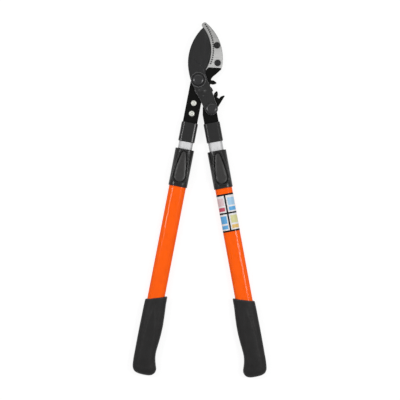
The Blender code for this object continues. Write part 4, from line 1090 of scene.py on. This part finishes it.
def grip(side, axis, mirror):
    """Rubber grip with a slanted mouth, a waist, a palm leaf front and back, and a squarish end."""
    node = f"{side}_grip"
    tube = extent(f"{side}_outer_tube", axis)
    half_width, _, half_depth = half_size(tube)
    half = half_size(extent(node, axis))[2]
    bore_bottom = tube[0].y - BORE_GAP
    top = bore_bottom + GRIP_TOP
    width, depth = 2 * (half_width + BORE_GAP), 2 * (half_depth + BORE_GAP)
    ring = END_ROUND_START / GRIP_RINGS
    stations = {row[0] for row in GRIP_WAIST if row[0] < ring}
    stations |= {i * ring for i in range(GRIP_RINGS + 1)}
    round_length = GRIP_LENGTH - END_ROUND_START
    for i in range(1, END_RINGS + 1):
        stations.add(END_ROUND_START + round_length * math.sin(END_TURN * i / END_RINGS))
    outer_loops = []
    for station in sorted(stations):
        share = station / GRIP_LENGTH
        inner, outer, drop = eased_table(GRIP_WAIST, station)
        left = end_round(station)
        slope = GRIP_MOUTH_SLOPE + (GRIP_END_SLOPE - GRIP_MOUTH_SLOPE) * share
        loop = []
        for a in turns(GRIP_POINTS):
            c, s = math.cos(a), math.sin(a)
            power = 2 / GRIP_SQUARENESS
            reach = half_width + (inner if c > 0 else outer)
            x = math.copysign(abs(c) ** power, c) * reach
            z = math.copysign(abs(s) ** power, s) * (half - drop)
            flatness = smooth_step(abs(z) / (half - drop), *LEAF_FACE)
            z -= math.copysign(LEAF_DEPTH, z) * (1 - leaf_share(share, x)) * flatness
            x = END_CENTRE + (x - END_CENTRE) * left
            loop.append((mirror * x, top - station - slope * x, z * left))
        outer_loops.append(loop)
    mouth = outer_loops[0]
    bore = []
    for x, y, z in mouth:
        bore_x, bore_z = on_stadium(Vector((x, z)), width, depth)
        bore.append((bore_x, y + (x - bore_x) * mirror * GRIP_MOUTH_SLOPE, bore_z))
    bore_end = [(x, bore_bottom, z) for x, _, z in bore]
    last = outer_loops[-1]
    centre = sum((Vector(p) for p in last), Vector()) / len(last)
    closing = []
    for scale, bulge in END_CLOSING:
        drop = Vector((0, -bulge, 0))
        closing.append([centre + (Vector(p) - centre) * scale + drop for p in last])
    loops = [bore_end, bore] + outer_loops + closing
    dress(loft(f"{side}_grip_moulding", loops, axis, GRIP_SMOOTH), node)


# Fine marks on the head: drilled dimples, the blade's scribed step and the link's dent and swelling

DIMPLE_RADIUS = 0.00165
DIMPLE_DEPTH = 0.0008
DIMPLE_BORE = 0.0016
DIMPLE_SIDES = 24
NEAR = 0.00001
BLADE_UPPER = 0.25
STEP_START = Vector((0.0112, 0.2478))
STEP_END = Vector((-0.0120, 0.2693))
STEP_WIDTHS = (0.0020, 0.0008)
STEP_DEPTHS = (0.0013, 0.0005)
DENT = Vector((0.0062, 0.2000))
DENT_RADIUS = 0.0020
DENT_DEPTH = 0.0028
DENT_SIDES = 40
SWELLING = Vector((0.0046, 0.2095))
SWELLING_REACH = Vector((0.0098, 0.0080))
SWELLING_HEIGHT = 0.0014
SWELLING_SEAT = 0.00015
SWELLING_ROOT = 0.0020
SWELLING_SKIRT = 1.4
SWELLING_RINGS = 24


def drills(name, places, radius, low, high, steps):
    """One cutter made of a round bar at each place."""
    verts, faces = [], []
    for x, y in places:
        ring = [(x + radius * math.cos(a), y + radius * math.sin(a)) for a in turns(steps)]
        loops = [[(*point, z) for point in ring] for z in (low, high)]
        faces += [tuple(len(verts) + i for i in face) for face in skin(loops)]
        verts += loops[0] + loops[1]
    return new_piece(name, verts, faces)


def counter_cutters():
    """Drills for the dimples: each stands on the tip of a dimple of the CAD part."""
    points = node_points("counter_blade")
    top = max(p.z for p in points)
    level = top - DIMPLE_DEPTH
    tips = sorted({(round(p.x, 5), round(p.y, 5)) for p in points if abs(p.z - level) < NEAR})
    low, high = top - DIMPLE_BORE, top + DIMPLE_BORE
    return [drills("dimple_drills", tips, DIMPLE_RADIUS, low, high, DIMPLE_SIDES)]


def blade_face():
    """Height of the blade's front face beside its ground edge."""
    return max(p.z for p in node_points("blade") if p.y > BLADE_UPPER)


def blade_cutters():
    """A tapering V for the step line and a round dent on the link."""
    face = blade_face()
    side = (STEP_END - STEP_START).normalized().orthogonal()
    loops = []
    for place, width, depth in zip((STEP_START, STEP_END), STEP_WIDTHS, STEP_DEPTHS):
        left, right = place - side * width, place + side * width
        loops.append([(*left, face + depth), (*right, face + depth), (*place, face - depth)])
    low, high = face - DENT_DEPTH, face + DENT_DEPTH
    dent = drills("dent_drill", [DENT], DENT_RADIUS, low, high, DENT_SIDES)
    return [loft("step_scribe", loops), dent]


def swelling():
    """Low rounded swelling on the link."""
    face = blade_face()
    loops = []
    for i in range(SWELLING_RINGS + 1):
        share = SWELLING_SKIRT * (1 - i / (SWELLING_RINGS + 1))
        z = face + SWELLING_HEIGHT * max(0, 1 - share ** 2) ** 2 - SWELLING_SEAT
        x, y = SWELLING
        wide, tall = SWELLING_REACH * share
        loops.append([(x + wide * math.cos(a), y + tall * math.sin(a), z) for a in ROUND_TURNS])
    loops.insert(0, [(x, y, face - SWELLING_ROOT) for x, y, _ in loops[0]])
    piece = loft("link_swelling", loops)
    piece.data.materials.append(FINISHES["blade_coating"])
    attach(piece, BODY_OF["blade"])


# Plain colour panel on the right tube, wrapped round its front

PANEL_LIFT = 0.00012
PANEL_SEAT = 0.00002
PANEL_LEFT, PANEL_RIGHT = -0.0161, 0.0161
PANEL_BENDS = 16
FRAME_COLUMN = (-0.0026, 0.0006)
FRAME_ROWS = ((0.0038, 0.0006), (-0.0315, -0.0347), (-0.0653, -0.0686))
FIELD_COLUMNS = ((-0.0156, -0.0046), (0.0030, 0.0156))
FIELD_ROWS = ((-0.0040, -0.0185), (-0.0216, -0.0288), (-0.0380, -0.0525), (-0.0558, -0.0628))
FIELD_TINTS = (("pink", "sky"), ("red", "blue"), ("blue", "sand"), ("blue", "amber"))


def printed_vinyl(name, tone):
    """Satin printed film with a faint texture."""
    made = Surface(f"film_{name}", specular=0.12)
    made.finish_colour(made.colour(tone, 0.05, 240))
    made.rough(0.26, 0.38, 420)
    made.grain((1800, 0.000006, EVEN, 0))
    return made.material


FILM_TONES = {
    "white": (0.72, 0.71, 0.72),
    "black": (0.004, 0.004, 0.0045),
    "pink": (0.66, 0.50, 0.52),
    "sky": (0.36, 0.56, 0.74),
    "red": (0.52, 0.075, 0.12),
    "blue": (0.12, 0.38, 0.68),
    "sand": (0.62, 0.60, 0.30),
    "amber": (0.72, 0.48, 0.16),
}
FILMS = {name: printed_vinyl(name, tone) for name, tone in FILM_TONES.items()}


def film_at(x, y):
    """Name of the film's colour at a point of the panel."""
    if FRAME_COLUMN[0] < x < FRAME_COLUMN[1] or any(low < y < high for high, low in FRAME_ROWS):
        return "black"
    for (high, low), tints in zip(FIELD_ROWS, FIELD_TINTS):
        for (left, right), tint in zip(FIELD_COLUMNS, tints):
            if left < x < right and low < y < high:
                return tint
    return "white"


def colour_panel(side, axis):
    """Thin printed film on the tube: eight fields of plain colour in a black frame."""
    node = f"{side}_outer_tube"
    half_width, _, radius = half_size(extent(node, axis))
    flat = half_width - radius

    def place(x, y, lift):
        over = max(0, abs(x) - flat)
        turn = math.asin(min(1, over / radius))
        bent = radius + lift
        across = math.copysign(flat + bent * math.sin(turn), x) if over else x
        return axis @ Vector((across, y, bent * math.cos(turn)))

    columns = {PANEL_LEFT, PANEL_RIGHT, *FRAME_COLUMN, *(x for pair in FIELD_COLUMNS for x in pair)}
    for i in range(1, PANEL_BENDS):
        x = flat + radius * math.sin(math.pi / 2 * i / PANEL_BENDS)
        columns |= {x, -x} if x < PANEL_RIGHT else set()
    columns = sorted(columns)
    rows = sorted({y for pair in FRAME_ROWS + FIELD_ROWS for y in pair})
    verts = [place(x, y, lift) for lift in (PANEL_SEAT, PANEL_LIFT) for y in rows for x in columns]
    wide, layer = len(columns), len(columns) * len(rows)
    names = list(FILMS)
    faces, inks = [], []
    for j in range(len(rows) - 1):
        for i in range(wide - 1):
            ink = film_at((columns[i] + columns[i + 1]) / 2, (rows[j] + rows[j + 1]) / 2)
            for base in (0, layer):
                first = base + j * wide + i
                faces.append((first, first + 1, first + wide + 1, first + wide))
                inks.append(names.index(ink))
    rim = list(range(wide))
    rim += [j * wide + wide - 1 for j in range(1, len(rows))]
    rim += [(len(rows) - 1) * wide + i for i in range(wide - 2, -1, -1)]
    rim += [j * wide for j in range(len(rows) - 2, 0, -1)]
    for a, b in zip(rim, rim[1:] + rim[:1]):
        faces.append((a, b, b + layer, a + layer))
        inks.append(names.index("black"))
    panel = new_piece(f"{side}_colour_panel", verts, faces, PANEL_SMOOTH)
    for film in FILMS.values():
        panel.data.materials.append(film)
    panel.data.polygons.foreach_set("material_index", inks)
    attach(panel, BODY_OF[node])


# Assembly

AXES = {side: tube_axis(side) for side in ("left", "right")}
INNER_SIDE = {"left": 1, "right": -1}
PIVOT_BOLTS = ("main_pivot_bolt", "arm_pivot_bolt")
SOCKET_BOLTS = (
    "counter_screw_upper",
    "counter_screw_lower",
    "shank_bolt_upper",
    "shank_bolt_lower",
)
EDGES = {
    "blade": 0.0009,
    "hook_body": 0.0009,
    "gear_arm": 0.0009,
    "left_shank": 0.0006,
    "counter_blade": 0.0002,
    "main_pivot_nut": 0.0008,
    "arm_pivot_nut": 0.0008,
}
LIGHT_EDGE = 0.00025
HANDLE_PARTS = ("outer_tube", "inner_tube", "lock_sleeve", "lock_button", "lock_spring", "grip")
SLICES = {"hook_body": 14}

done = {f"{side}_{part}" for side in AXES for part in HANDLE_PARTS}
done |= {*PIVOT_BOLTS, *SOCKET_BOLTS}
for node in PIVOT_BOLTS:
    pivot_bolt(node)
for node in SOCKET_BOLTS:
    socket_bolt(node)
for side, axis in AXES.items():
    outer_tube(side, axis)
    inner_tube(side, axis)
    lock_sleeve(side, axis)
    lock_button(side, axis)
    lock_spring(side)
    grip(side, axis, INNER_SIDE[side])
CUTTERS = {"counter_blade": counter_cutters(), "blade": blade_cutters()}
for node in frame["nodes"]:
    if node not in done:
        edge = EDGES.get(node, LIGHT_EDGE)
        refined(node, f"{node}_finish", edge, CUTTERS.get(node, ()), SLICES.get(node, 1))
swelling()
colour_panel("right", AXES["right"])
